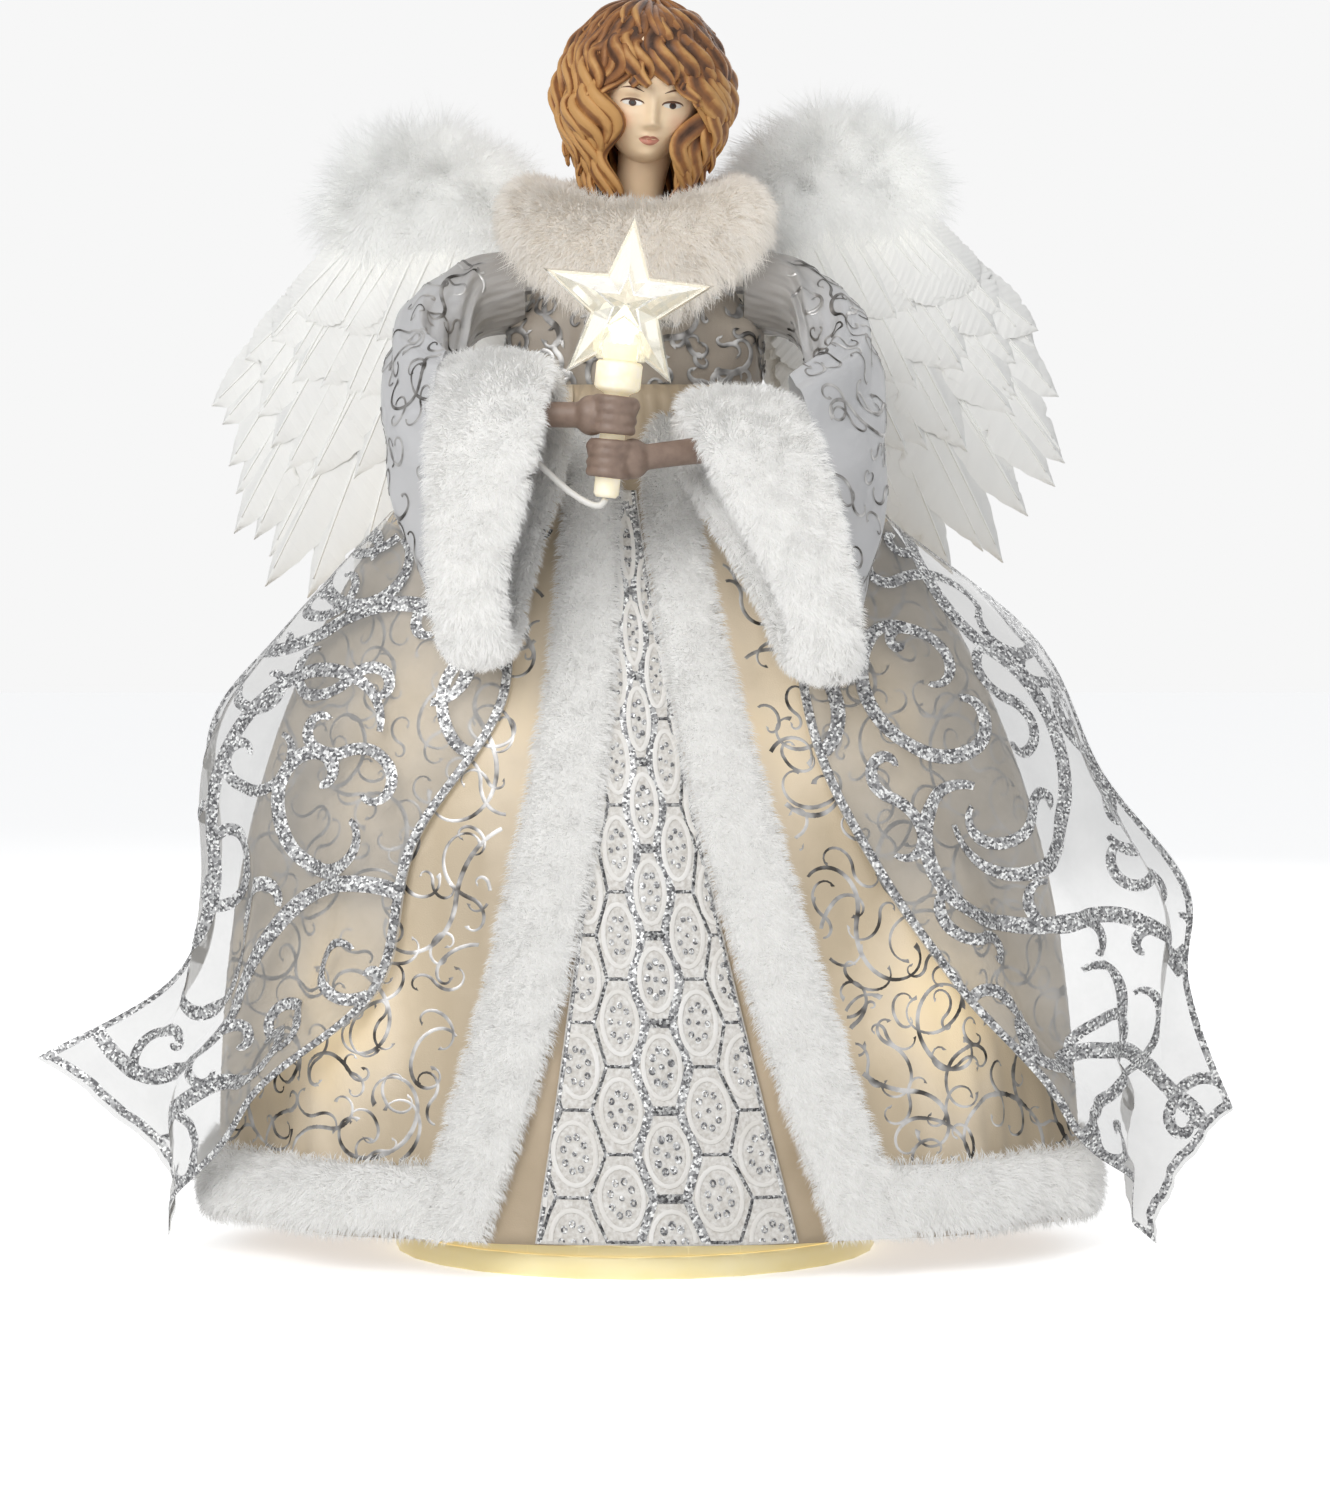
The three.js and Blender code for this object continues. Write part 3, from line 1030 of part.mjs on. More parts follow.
function makePower() {
  add('lamp_string', tube(new LampString(), STRING_RADIUS, 5, 44), 'dark');

  const half = BOX.width / 2;
  const back = BOX.front + BOX.depth;
  const grooveFront = BOX.front + COVER_LAND;
  const grooveBack = grooveFront + COVER_THICK + 2 * GAP;
  const inside = half - BOX.wall;
  const groove = inside + COVER_GROOVE;
  const floor = boxFoot + BOX.wall;
  const roof = boxTop - BOX.wall;
  let body = box(-half, half, BOX.front, back, boxFoot, boxTop);
  body = body.subtract(box(-inside, inside, grooveBack - 0.5, back - BOX.wall, floor, roof));
  body = body.subtract(box(-groove, groove, grooveFront, grooveBack, boxFoot - 1, roof));
  body = body.subtract(box(-inside, inside, BOX.front - 1, grooveFront + 0.5, boxFoot - 1, roof));
  const slotY = BOX.front + SWITCH.slotY;
  const slotHalf = SWITCH.slotWidth / 2;
  const slotEnd = SWITCH.slotX + SWITCH.slotLength / 2;
  const slotStart = slotEnd - SWITCH.slotLength;
  body = body.subtract(box(slotStart, slotEnd, slotY - slotHalf, slotY + slotHalf, boxFoot - 1, floor + 1));
  for (const [x, y] of screwPlaces()) {
    body = body.subtract(rod(SCREW.shank + GAP, boxFoot - 1, floor + 1, 12).translate(x, y, 0));
  }
  add('battery_box', body, 'box');

  const coverHalf = groove - GAP;
  const coverFace = grooveFront + GAP;
  let cover = box(-coverHalf, coverHalf, coverFace, coverFace + COVER_THICK, boxFoot, roof - GAP);
  for (let n = 0; n < GRIP.count; n += 1) {
    const z = boxFoot + GRIP.rise + GRIP.pitch * n;
    cover = cover.add(box(-GRIP.half, GRIP.half, coverFace - GRIP.height, coverFace + 0.5, z, z + GRIP.rib));
  }
  add('battery_cover', cover, 'box');

  const cellY = grooveBack + GAP + CELL_RADIUS;
  const springFoot = floor + SWITCH.plate + 2 * GAP;
  const stripFoot = roof - GAP - STRIP.thick;
  const stripHalf = CELL_PITCH + STRIP.spare;
  const cellTop = stripFoot - GAP;
  const cellFoot = cellTop - CELL_LENGTH;
  const strip = box(-stripHalf, stripHalf, cellY - STRIP.half, cellY + STRIP.half, stripFoot, roof - GAP);
  add('contact_strip', strip, 'wire');
  for (const n of [0, 1, 2]) {
    const x = (n - 1) * CELL_PITCH;
    const cell = turned([
      [0, cellFoot], [CELL_RADIUS, cellFoot], [CELL_RADIUS, cellTop - CELL_NIB.height],
      [CELL_NIB.radius, cellTop - CELL_NIB.height], [CELL_NIB.radius, cellTop], [0, cellTop],
    ], 10);
    add(`cell_${n + 1}`, cell.translate(x, cellY, 0), 'cell');
    const coil = [];
    const coilFoot = springFoot + SPRING.wire + GAP;
    const coilTop = cellFoot - GAP - SPRING.wire;
    for (let k = 0; k <= 8 * SPRING.turns; k += 1) {
      const a = (Math.PI * k) / 4;
      const rise = lerp(coilFoot, coilTop, k / (8 * SPRING.turns));
      coil.push(v3(x + SPRING.radius * Math.cos(a), cellY + SPRING.radius * Math.sin(a), rise));
    }
    add(`contact_spring_${n + 1}`, tube(through(coil), SPRING.wire, 4, 7 * SPRING.turns), 'wire');
  }

  const knobEnd = slotEnd - GAP;
  const knobStart = knobEnd - SWITCH.knob;
  const knobHalf = slotHalf - GAP;
  const plateFoot = floor + GAP;
  const plateTop = plateFoot + SWITCH.plate - GAP;
  const plateHalf = slotHalf + SWITCH_PLATE.side;
  const knob = box(knobStart, knobEnd, slotY - knobHalf, slotY + knobHalf, SWITCH.foot, plateFoot + 0.5);
  const slider = box(knobStart - SWITCH_PLATE.inner, knobEnd + SWITCH_PLATE.outer,
    slotY - plateHalf, slotY + plateHalf, plateFoot, plateTop);
  add('switch_slider', knob.add(slider), 'white');

  screwPlaces().forEach(([x, y], n) => {
    const headFoot = SHELF_FOOT + SCREW.sink;
    const shankTop = SHELF_FOOT + SCREW.length;
    const screw = turned([
      [0, headFoot], [SCREW.head, headFoot], [SCREW.shank, SHELF_FOOT + SCREW.headHeight],
      [SCREW.shank, shankTop], [0, shankTop],
    ], 10);
    add(`box_screw_${n + 1}`, screw.translate(x, y, 0), 'wire');
  });
}

makeFoot();
makeCone();
makeTorso();
makeHead();
makeSkirts();
makeCapes();
makeArms();
makeCandle();
makeWings();
makePower();

export default group;
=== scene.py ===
"""Looks of the lit angel tree topper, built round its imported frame.

Lengths are millimetres until a mesh is made. The figure faces -Y; left and right are the viewer's.
"""
import math

import bpy
import numpy as np
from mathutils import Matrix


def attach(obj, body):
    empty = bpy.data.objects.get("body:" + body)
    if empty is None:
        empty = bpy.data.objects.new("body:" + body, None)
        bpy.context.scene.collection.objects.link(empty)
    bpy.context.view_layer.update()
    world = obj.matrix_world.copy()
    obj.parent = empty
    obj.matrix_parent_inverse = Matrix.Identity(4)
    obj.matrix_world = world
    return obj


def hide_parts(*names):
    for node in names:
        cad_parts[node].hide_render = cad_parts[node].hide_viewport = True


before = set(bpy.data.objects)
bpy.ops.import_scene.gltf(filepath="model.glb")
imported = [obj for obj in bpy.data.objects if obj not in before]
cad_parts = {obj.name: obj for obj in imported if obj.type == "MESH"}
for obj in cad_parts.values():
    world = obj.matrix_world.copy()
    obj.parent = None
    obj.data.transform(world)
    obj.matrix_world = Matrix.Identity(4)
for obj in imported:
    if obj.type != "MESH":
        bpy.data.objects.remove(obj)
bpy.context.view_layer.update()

MM = 0.001
TURN = 2 * np.pi
SIDES = ("left", "right")
UP = (0, 0, 1)

# Sizes that the solids are made to
GAP = 0.3
BASE_RADIUS = 60
RING_HEIGHT = 8
RING_FLOOR = 2.4
RING_WALL = 2.2
RING_LEDGE = 8
RING_STEP = 1
RING_STEP_HEIGHT = 2.6
CONE_TOP = 186.7
CONE_TOP_RADIUS = 14
CONE_SLOPE = 0.231
LAMP_HEIGHTS = (50.7, 112.7)
LAMP_ANGLES = (65, 115)
ARMS_Z = CONE_TOP + 52
TORSO_TOP = ARMS_Z + 12
TORSO_HALF_WIDTH = [16, 22.5, 25, 25, 14]
TORSO_HALF_DEPTH = [12.5, 14.72, 16, 13.76, 11]
BODICE_FOOT = CONE_TOP + 4
BODICE_TOP = ARMS_Z + 10
BODICE_LIFT = 1.4
BODICE_FULL = 5.5
SKULL = np.array([14, 16, 19.5])
HEAD_AT = np.array([3, -5, TORSO_TOP + 38.5])
HEAD_TILT = {"x": 9, "y": 4, "z": 8}
NECK_RADIUS = 7
COLLAR_Z = ARMS_Z + 20
COLLAR = {"half": 27, "front": 26, "back": 20, "fur": 8, "side": 8, "front_half": 14, "back_half": 11}
COLLAR_DROP = {"front": 13, "back": 3}
SKIRT_TOP = CONE_TOP + 28
SKIRT_TOP_HALF = (31, 18.9)
SKIRT_HEM_HALF = 103
SKIRT_HEM_FRONT = 62
SKIRT_HEM_BACK = 66
SKIRT_SWAY = 4
SIDE_BELL = 2.95
DEPTH_BELL = 1.3
FOLDS = 12
FOLD_DEPTH = 4.5
ROBE_LIFT = 2
TRIM_WIDTH = (11, 18)
FUR_CLEAR = 1.2
FUR_ROUND = 2.56
TRIM_TOP = CONE_TOP + 6
TRIM_RISE = 14
HEM_FOOT = RING_HEIGHT + 2 * GAP
HEM_TOP = HEM_FOOT + 20
ROBE_FOOT = HEM_TOP - 4
TRIMS = {"left": (-10, -44, 2), "right": (8, 56, 1.4)}
FRONT_ANGLE = math.radians(50)
LACE_TOP = TRIM_TOP - 4
LACE_WIDTH = (5, 62)
LACE_SHIFT = (-2, 8)
LACE_LIFT = 0.7
LACE_PLEAT = 4
LACE_PITCH = 20.6
CAPE_LIFT = 2.7
CAPE_OVER_HEM = 10.5
CAPE_FOLD = 5
CAPE_TURN = math.radians(80)
CAPES = {
    "left": (
        ([33, 30, 51, 58, 80, 106], [176, 139, 104, 70, 42, 3]),
        ([60, 88, 105, 103, 112, 148], [184, 154, 130, 97, 68, 47]),
    ),
    "right": (
        ([36, 42, 58, 80, 100, 128], [176, 130, 95, 59, 26, 2]),
        ([60, 100, 116, 136, 136, 148], [184, 152, 118, 90, 66, 34]),
    ),
}
SLEEVE_ROOT = 27.1
SLEEVE_REACH = [0, 13, 23, 26, 24]
SLEEVE_FORWARD = [0, 1, 11, 28, 48]
SLEEVE_TOP = [10.5, 8.5, 2, -7, -16]
SLEEVE_BOTTOM = [-10.5, -14, -31, -51, -86]
SLEEVE_HALF = [10.5, 11, 10.5, 9, 12]
SLEEVE_HEADING = [180, 190, 235, 275, 345]
SLEEVE_FOLD = 2.2
SLEEVE_CREASE = 0.45
SLEEVE_GATHER = 0.06
CUFF_WIDTH = 24
CUFF_FUR = 6
CUFF_INSET = 6
CUFF_FLARE = {"left": 10, "right": 12}
CUFF_SAG = {"left": 7, "right": 10}
CUFF_LEAN = {"left": 0, "right": 13}
CUFF_DROP = {"left": 0, "right": 5}
CANDLE_AT = np.array([-5, -59, ARMS_Z - 37])
CANDLE_TILT = math.radians(6)
CANDLE_RADIUS = 3
CANDLE_TAIL = 15
CUP = {"foot": 10.8, "radius": 5.5, "height": 6.5, "nozzle": 4, "nozzle_height": 4}
FIST_RISE = {"left": 4.6, "right": -5.8}
ARM_RADIUS = (4.6, 3.1)
PALM_HALF = (4.3, 4.4, 4.9)
FINGER_RADIUS = (1.35, 1.15)
FINGER_PITCH = 2.3
THUMB_RADIUS = 1.4
STAR_RADIUS = 21.5
STAR_NOTCH = 8.8
STAR_THICK = 13
STAR_RISE = 13.5
STAR_RINGS = [(0, 1), (1.6, 0.95), (1.5, 0.86), (4.6, 0.36), (5.2, 0.3), (STAR_THICK / 2, 0.02)]
LEAD_RADIUS = 0.8
LEAD_BELOW_ARM = 3.4
LEAD_EASE = 26
WING_PIN = (13, 29)
WING_SWEEP = 10
WING_ROLL = {"left": 0, "right": 6}
ARCH = np.array([(6, 4), (36, 37), (60, 14)])
FEATHER_FAN = (47, 77)
DOWN_RADIUS = 9.3
DOWN_DEPTH = 7.4

# Hair outline from the crown down: height above the head's middle, half-width and half-depth
HAIR_HEIGHT = [20, 16.5, 9.5, 1, -8, -18, -31]
HAIR_HALF_WIDTH = [0.5, 10.5, 16.2, 19, 19.8, 15.5, 11.5]
HAIR_HALF_DEPTH = [0.5, 10.5, 15.8, 18, 17.8, 14.5, 11.5]

# Locks: how far out and how thick each layer of them is
HAIR_LAYERS = ((0.95, 3.3), (1.03, 2.6), (1.08, 2.0))
LOCK_STEPS = 52
LOCK_SIDES = 15

# Forms of the face: distance from its middle line, height, half-width, half-height and rise
FACE_FORMS = (
    (0, -4.8, 1.2, 3.2, 1.5),
    (0, -8.2, 1.4, 1.4, 2.7),
    (1.5, -8.9, 0.9, 0.8, 0.9),
    (5.0, -3.6, 2.8, 1.7, -1.5),
    (5.0, -3.9, 2.0, 1.1, 1.0),
    (4.6, -0.8, 3.4, 1.0, 0.4),
    (6.0, -8.4, 3.2, 3.2, 0.7),
    (0.9, -11.7, 1.4, 0.7, 0.7),
    (0, -13.3, 1.8, 0.8, 0.8),
    (0, -12.5, 2.4, 0.35, -0.35),
    (0, -17.0, 3.6, 2.6, 2.6),
)
EYE = {"x": 5.0, "z": -3.9, "half": 2.4, "upper": 0.85, "lower": 0.6, "iris": 0.92, "pupil": 0.5}
BROW = {"start": 2.6, "end": 8, "z": -0.9, "rise": 0.9}
MOUTH_Z = -12.5

# Fur: how many hairs, how long and how thick
PILES = {
    "trim": (45000, 3.8, 0.1),
    "hem": (62000, 4.2, 0.12),
    "collar": (60000, 5.0, 0.11),
    "cuff": (60000, 4.0, 0.11),
    "down": (56000, 10, 0.1),
    "long down": (24000, 17, 0.07),
}

# Foil prints: tries, size and width
FOIL = {"robe": (4500, 38, 1.45), "bodice": (700, 16, 1.5), "sleeve": (110, 26, 1.0)}
FOIL_LIFT = 0.12
PRINT_EDGE = 0.012

# Scrolls of a foil print, large to small: share of its size, share of its tries, steps and room to keep
FOIL_SIZES = ((1, 1, 34, 2.0), (0.6, 2, 24, 1.7), (0.33, 4, 14, 1.5))

# Glitter scrolls of the capes: tries, shortest and longest half, width, steps and the room to keep
CAPE_SCROLLS = (
    (3000, (75, 110), 4.0, 70, 3.6),
    (4000, (40, 60), 3.6, 44, 3.4),
    (4000, (22, 34), 3.0, 28, 3.2),
)
CAPE_BORDER = 2.2
GLITTER_LIFT = 0.15

# Lace: half-width of a cell from the top down, and its cords' width and height
LACE_CELL = {"start": 1.6, "spread": 0.036, "least": 2.2, "most": 7.8, "lean": 0.012, "shift": -0.6}
LACE_CORDS = {
    "middle cell": (2.2, 0.25),
    "cell": (0.8, 0.2),
    "middle dot": (0.75, 0.3),
    "dot": (0.5, 0.3),
    "edge": (0.9, 0.2),
    "ring": (1.1, 0.35),
}

# Feather rows from the back: which node, how many, shortest and longest, width, drop and how far forward
FEATHER_ROWS = (
    ("long", 14, (50, 112), 0.8, 17, 3, 3.0),
    ("long", 12, (44, 82), 0.8, 16, 2, 4.6),
    ("short", 12, (36, 60), 0.85, 15, 1, 5.6),
    ("short", 11, (28, 42), 1.0, 14, 0, 6.6),
)

# Stage, in metres: a light has its place, size and power
FLOOR_HALF = 4.0
FLOOR_GLOW = 0.56
SKY_LIGHT = 0.36
SURROUND = 0.93
LIGHTS = {
    "key": ((-0.42, -0.9, 0.74), 0.7, 7.0),
    "fill": ((0.9, -0.8, 0.5), 0.9, 1.2),
    "rim": ((0.35, 0.95, 0.75), 0.9, 3.8),
}
LIGHT_TARGET = np.array([0, 0, 0.16])
CAMERA_AT = (0.0075, -1.2, 0.18)
CAMERA_AIM = (0, 1.2, -0.056)
CAMERA_LENS = 115.2
CAMERA_REACH = 20


def lerp(a, b, t):
    return a + (b - a) * t


def smooth(x, low, high):
    t = np.clip((x - low) / (high - low), 0, 1)
    return t * t * (3 - 2 * t)


def xyz(x, y, z):
    return np.stack(np.broadcast_arrays(x, y, z), axis=-1).astype(float)


def unit(v):
    return v / np.maximum(np.linalg.norm(v, axis=-1, keepdims=True), 1e-9)


def share_grid(rows, columns, closed=False, around=False):
    """Two shares over a sheet; closed rows, or columns that go around, stop one short of their start."""
    u = np.linspace(0, 1, rows, endpoint=not closed)
    v = np.linspace(0, 1, columns, endpoint=not around)
    return np.meshgrid(u, v, indexing="ij")


def along(values, share):
    """A smooth value through evenly spaced stations."""
    values = np.asarray(values, float)
    padded = np.concatenate([[2 * values[0] - values[1]], values, [2 * values[-1] - values[-2]]])
    t = np.asarray(share, float) * (len(values) - 1)
    k = np.clip(np.floor(t).astype(int), 0, len(values) - 2)
    f = t - k
    a, b, c, d = (padded[k + n] for n in range(4))
    return b + 0.5 * f * (c - a + f * (2 * a - 5 * b + 4 * c - d + f * (3 * (b - c) + d - a)))


def turned_by(points, axis, angle):
    """Points turned about X, Y or Z through the origin."""
    i, j = {"x": (1, 2), "y": (2, 0), "z": (0, 1)}[axis]
    out = np.array(points, float)
    c, s = math.cos(angle), math.sin(angle)
    out[..., i] = c * points[..., i] - s * points[..., j]
    out[..., j] = s * points[..., i] + c * points[..., j]
    return out


def ripple(points, wave, seed):
    """Smooth random vectors over space, with hills about one wave apart."""
    rng = np.random.default_rng(seed)
    total = np.zeros(points.shape)
    for _ in range(7):
        k = unit(rng.normal(size=3)) * TURN / wave * rng.uniform(0.7, 1.5)
        total += np.sin(points @ k + rng.uniform(0, 6.28))[..., None] * unit(rng.normal(size=3))
    return total / 1.8


# Surfaces of the figure, as functions of where on them
def torso(z, angle, grow):
    share = np.clip((z - CONE_TOP) / (TORSO_TOP - CONE_TOP), 0, 1)
    wide = np.minimum(along(TORSO_HALF_WIDTH, share), max(TORSO_HALF_WIDTH))
    deep = np.minimum(along(TORSO_HALF_DEPTH, share), max(TORSO_HALF_DEPTH))
    return xyz((wide + grow) * np.sin(angle), -(deep + grow) * np.cos(angle), z)


def bodice(u, v, lift=0):
    """The bodice's cloth: share round from the front, share up; it is gathered full under the arms."""
    z, angle = lerp(BODICE_FOOT, BODICE_TOP, v), TURN * np.asarray(u, float)
    at_side = smooth(np.abs(np.sin(angle)), 0.6, 1)
    below_arm = smooth(z, BODICE_FOOT + 8, ARMS_Z - 20) * (1 - smooth(z, ARMS_Z - 11, ARMS_Z - 3))
    return torso(z, angle, BODICE_LIFT + 0.2 * np.sin(22 * angle) + BODICE_FULL * at_side * below_arm + lift)


def skirt_share(z):
    return np.clip((SKIRT_TOP - z) / (SKIRT_TOP - RING_HEIGHT), 0, 1)


def skirt(angle, z, lift):
    """A point out from the underskirt: angle from the front, height, and distance out."""
    share = skirt_share(z)
    forward = np.cos(angle)
    side = lerp(SKIRT_TOP_HALF[0], SKIRT_HEM_HALF, 1 - (1 - share) ** SIDE_BELL)
    foot = np.where(forward > 0, SKIRT_HEM_FRONT, SKIRT_HEM_BACK)
    depth = lerp(SKIRT_TOP_HALF[1], foot, 1 - (1 - share) ** DEPTH_BELL)
    fold = FOLD_DEPTH * share * (0.5 - 0.5 * np.cos(FOLDS * angle)) * np.minimum(1, 1.6 - 1.2 * forward)
    x = SKIRT_SWAY * share + (side + fold + lift) * np.sin(angle)
    return xyz(x, -(depth + fold + lift) * forward, z)


def skirt_angle(x, z, lift):
    """The angle at which the skirt's front is at a given X."""
    sway = SKIRT_SWAY * skirt_share(z)
    side = skirt(np.pi / 2, z, lift)[..., 0]
    return np.arcsin(np.clip((x - sway) / (side - sway), -1, 1))


def trim_at(side, z):
    """Middle and half-width of a front fur trim at a height."""
    share = np.clip((TRIM_TOP - z) / (TRIM_TOP - HEM_FOOT), 0, 1)
    top, foot, bend = TRIMS[side]
    return lerp(top, foot, share ** bend), lerp(*TRIM_WIDTH, np.minimum(1, 2 * share)) / 2


def robe_height(v):
    return lerp(SKIRT_TOP, ROBE_FOOT, np.clip(v, 0, 1) ** 1.1)


def robe_angle(u, z):
    """Angle of a share of the way round the robe, from its right front edge to its left one."""
    edges = []
    for side, out in (("right", 1), ("left", -1)):
        middle, half = trim_at(side, z)
        lift = np.where(z > TRIM_TOP, ROBE_LIFT, FUR_CLEAR)
        edges.append(skirt_angle(middle + out * (half + GAP), z, lift))
    angle = TURN * np.asarray(u, float)
    last = TURN - FRONT_ANGLE
    right = lerp(edges[0], FRONT_ANGLE, angle / FRONT_ANGLE)
    left = lerp(last, TURN + edges[1], (angle - last) / FRONT_ANGLE)
    return np.where(angle < FRONT_ANGLE, right, np.where(angle > last, left, angle))


def robe(u, v, lift=0):
    z = robe_height(v)
    angle = robe_angle(np.clip(u, 0, 1), z)
    crease = 0.35 * np.sin(5 * FOLDS * angle + 0.06 * z) * skirt_share(z)
    gather = 0.4 * np.sin(6 * FOLDS * angle) * (1 - smooth(v, 0.02, 0.3))
    return skirt(angle, z, lerp(GAP, ROBE_LIFT, smooth(v, 0, 0.12)) + crease + gather + lift)


def lace_share(z):
    return np.clip((LACE_TOP - z) / (LACE_TOP - HEM_FOOT), 0, 1)


def lace_half(z):
    return lerp(*LACE_WIDTH, lace_share(z) ** 1.25) / 2


def lace(x, z, lift=0):
    """The lace panel: distance across from its middle line, and height."""
    v = lace_share(z)
    p = skirt(skirt_angle(lerp(*LACE_SHIFT, v) + x, z, LACE_LIFT), z, LACE_LIFT + lift)
    p[..., 1] -= LACE_PLEAT * v * np.clip(1 - np.abs(x / lace_half(z)), 0, 1) ** 0.8
    return p


def fur_base(angle, end=1):
    """How far the rounded backing of a fur stands off the skirt, by the angle round it."""
    return FUR_CLEAR + FUR_ROUND * end * (1 - np.cos(angle))


def trim(side):
    """A front fur trim's backing: share down, share across its rounded face."""
    def at(u, v):
        z = lerp(TRIM_TOP + TRIM_RISE, HEM_FOOT + 1, u)
        middle, half = trim_at(side, z)
        a = lerp(0.25 * np.pi, 1.75 * np.pi, v)
        end = np.sqrt(np.clip(1 - (1 - u / 0.045).clip(0) ** 2, 0.01, 1))
        x = middle + 0.95 * half * end * np.sin(a)
        return skirt(skirt_angle(x, z, FUR_CLEAR), z, fur_base(a, end))
    return at


def hem(u, v):
    a = lerp(-0.25 * np.pi, -1.75 * np.pi, v)
    z = (HEM_FOOT + HEM_TOP) / 2 + 8 * np.sin(a)
    return skirt(robe_angle(lerp(-0.018, 1.018, u), z), z, fur_base(a))


def cape(side):
    """A cape: share across from its inner edge, share down."""
    sign = -1 if side == "left" else 1
    edges = CAPES[side]

    def at(u, v, lift=0):
        u, v = np.clip(u, 0, 1), np.clip(v, 0, 1)
        (x_in, z_in), (x_out, z_out) = ((along(x, v), np.maximum(along(z, v), GAP)) for x, z in edges)
        angle_in = np.abs(skirt_angle(sign * x_in, z_in, CAPE_LIFT))
        angle_in = CAPE_TURN - np.logaddexp(0, 12 * (CAPE_TURN - angle_in)) / 12
        angle_out = np.radians(lerp(99, 88, v))
        flare_in, flare_out = (
            np.maximum(0, x - np.abs(skirt(sign * angle, z, CAPE_LIFT)[..., 0]))
            for x, z, angle in ((x_in, z_in, angle_in), (x_out, z_out, angle_out))
        )
        z = lerp(z_in, z_out, u)
        clear = CAPE_LIFT + CAPE_OVER_HEM * (1 - smooth(z, HEM_TOP + 10, HEM_TOP + 40))
        fold = CAPE_FOLD * np.minimum(1, 2 * v) * (0.5 - 0.5 * np.cos(TURN * (3 * u + 0.4 * v)))
        fold += 0.5 * v * (1 + np.sin(TURN * (9 * u - 1.7 * v)))
        fold *= 1 - 0.75 * smooth(v, 0.66, 0.96)
        flare = np.maximum(0, lerp(flare_in, flare_out, u ** 1.6) + CAPE_LIFT - clear)
        return skirt(sign * lerp(angle_in, angle_out, u), z, clear + flare + fold + 0.4 + lift)
    return at


def sleeve_at(side, v):
    """One station of a sleeve: its middle, its directions and its half-sizes."""
    sign = 1 if side == "left" else -1
    v = np.asarray(v, float)
    heading = np.radians(along(SLEEVE_HEADING, v))
    sink = CUFF_DROP[side] * v * v
    top, bottom = along(SLEEVE_TOP, v) - sink, along(SLEEVE_BOTTOM, v) - sink
    lean = math.radians(CUFF_LEAN[side]) * v ** 3
    x, y = -sign * (SLEEVE_ROOT + along(SLEEVE_REACH, v)), -along(SLEEVE_FORWARD, v)
    return {
        "middle": xyz(x, y, ARMS_Z + (top + bottom) / 2),
        "across": xyz(-sign * np.sin(heading), np.cos(heading), 0),
        "up": xyz(-np.sin(lean), 0, np.cos(lean)),
        "ahead": xyz(sign * np.cos(heading), np.sin(heading), 0),
        "half": along(SLEEVE_HALF, v)[..., None],
        "tall": ((top - bottom) / 2)[..., None],
    }


def sleeve(side):
    """A sleeve's cloth: share round, share down the arm; its end is tucked into the cuff."""
    def at(u, v, lift=0):
        u, v = np.broadcast_arrays(np.asarray(u, float), np.clip(v, 0, 1))
        angle = TURN * u
        s = sleeve_at(side, v)
        fold = SLEEVE_FOLD * v * (0.5 - 0.5 * np.cos(8 * angle + 1.5 * v))
        crease = SLEEVE_CREASE * np.sin(9 * angle + 14 * v) * np.sin(np.pi * v)
        gather = np.sin(31 * angle + 5 * np.sin(7 * v)) + np.sin(19 * angle - 4 * np.sin(5 * v))
        inset = (0.4 + fold + crease + SLEEVE_GATHER * gather * (1 - 0.5 * v) - lift)[..., None]
        turn = angle[..., None]
        tuck = (CUFF_INSET * smooth(v, 0.8, 1))[..., None]
        return s["middle"] + s["across"] * (s["half"] - inset) * np.cos(turn) \
            + s["up"] * (s["tall"] - inset) * np.sin(turn) + s["ahead"] * tuck
    return at


def cuff(side):
    """A cuff's backing: share round the sleeve's mouth, share round the fur roll."""
    mouth = sleeve_at(side, 1)

    def at(u, v):
        a, b = TURN * u, TURN * v
        thick = CUFF_FUR * (np.where(np.sin(b) > 0, 0.72, 0.3) * np.sin(b) + 0.1)
        wide = CUFF_WIDTH + CUFF_FLARE[side] * smooth(np.sin(a), -0.8, 0.5)
        sag = CUFF_SAG[side] * smooth(np.sin(a), 0.2, 1)
        roll = 1 - np.sign(np.cos(b)) * np.abs(np.cos(b)) ** 0.85
        ahead = 2 * GAP + CUFF_INSET + (wide / 2 - 4) * roll
        a, thick, ahead, sag = (n[..., None] for n in np.broadcast_arrays(a, thick, ahead, sag))
        return mouth["middle"] + mouth["across"] * (mouth["half"] + thick) * np.cos(a) \
            + mouth["up"] * ((mouth["tall"] + thick) * np.sin(a) - sag) + mouth["ahead"] * ahead
    return at


def collar(u, v):
    """The collar's backing: share round the neck from the front, share round the fur roll."""
    a, b = TURN * u, TURN * v
    front = np.cos(a)
    ends = front ** 2
    facing = front > 0
    end_z = COLLAR_Z - np.where(facing, COLLAR_DROP["front"], COLLAR_DROP["back"])
    end_half = np.where(facing, COLLAR["front_half"], COLLAR["back_half"])
    reach = np.where(facing, COLLAR["front"], COLLAR["back"])
    out = (COLLAR["fur"] - 2.6) * np.cos(b)
    tall = lerp(COLLAR["side"], end_half, ends) - 2.4
    z = lerp(COLLAR_Z, end_z, ends) + tall * np.sin(b) - 0.25 * out
    return xyz((COLLAR["half"] + out) * np.sin(a), -(reach + out) * front, z)


def candle(points):
    """Stands points made about Z on the candle's line."""
    return turned_by(np.asarray(points, float), "y", CANDLE_TILT) + CANDLE_AT


def on_head(points):
    for axis, degrees in HEAD_TILT.items():
        points = turned_by(points, axis, math.radians(degrees))
    return points + HEAD_AT


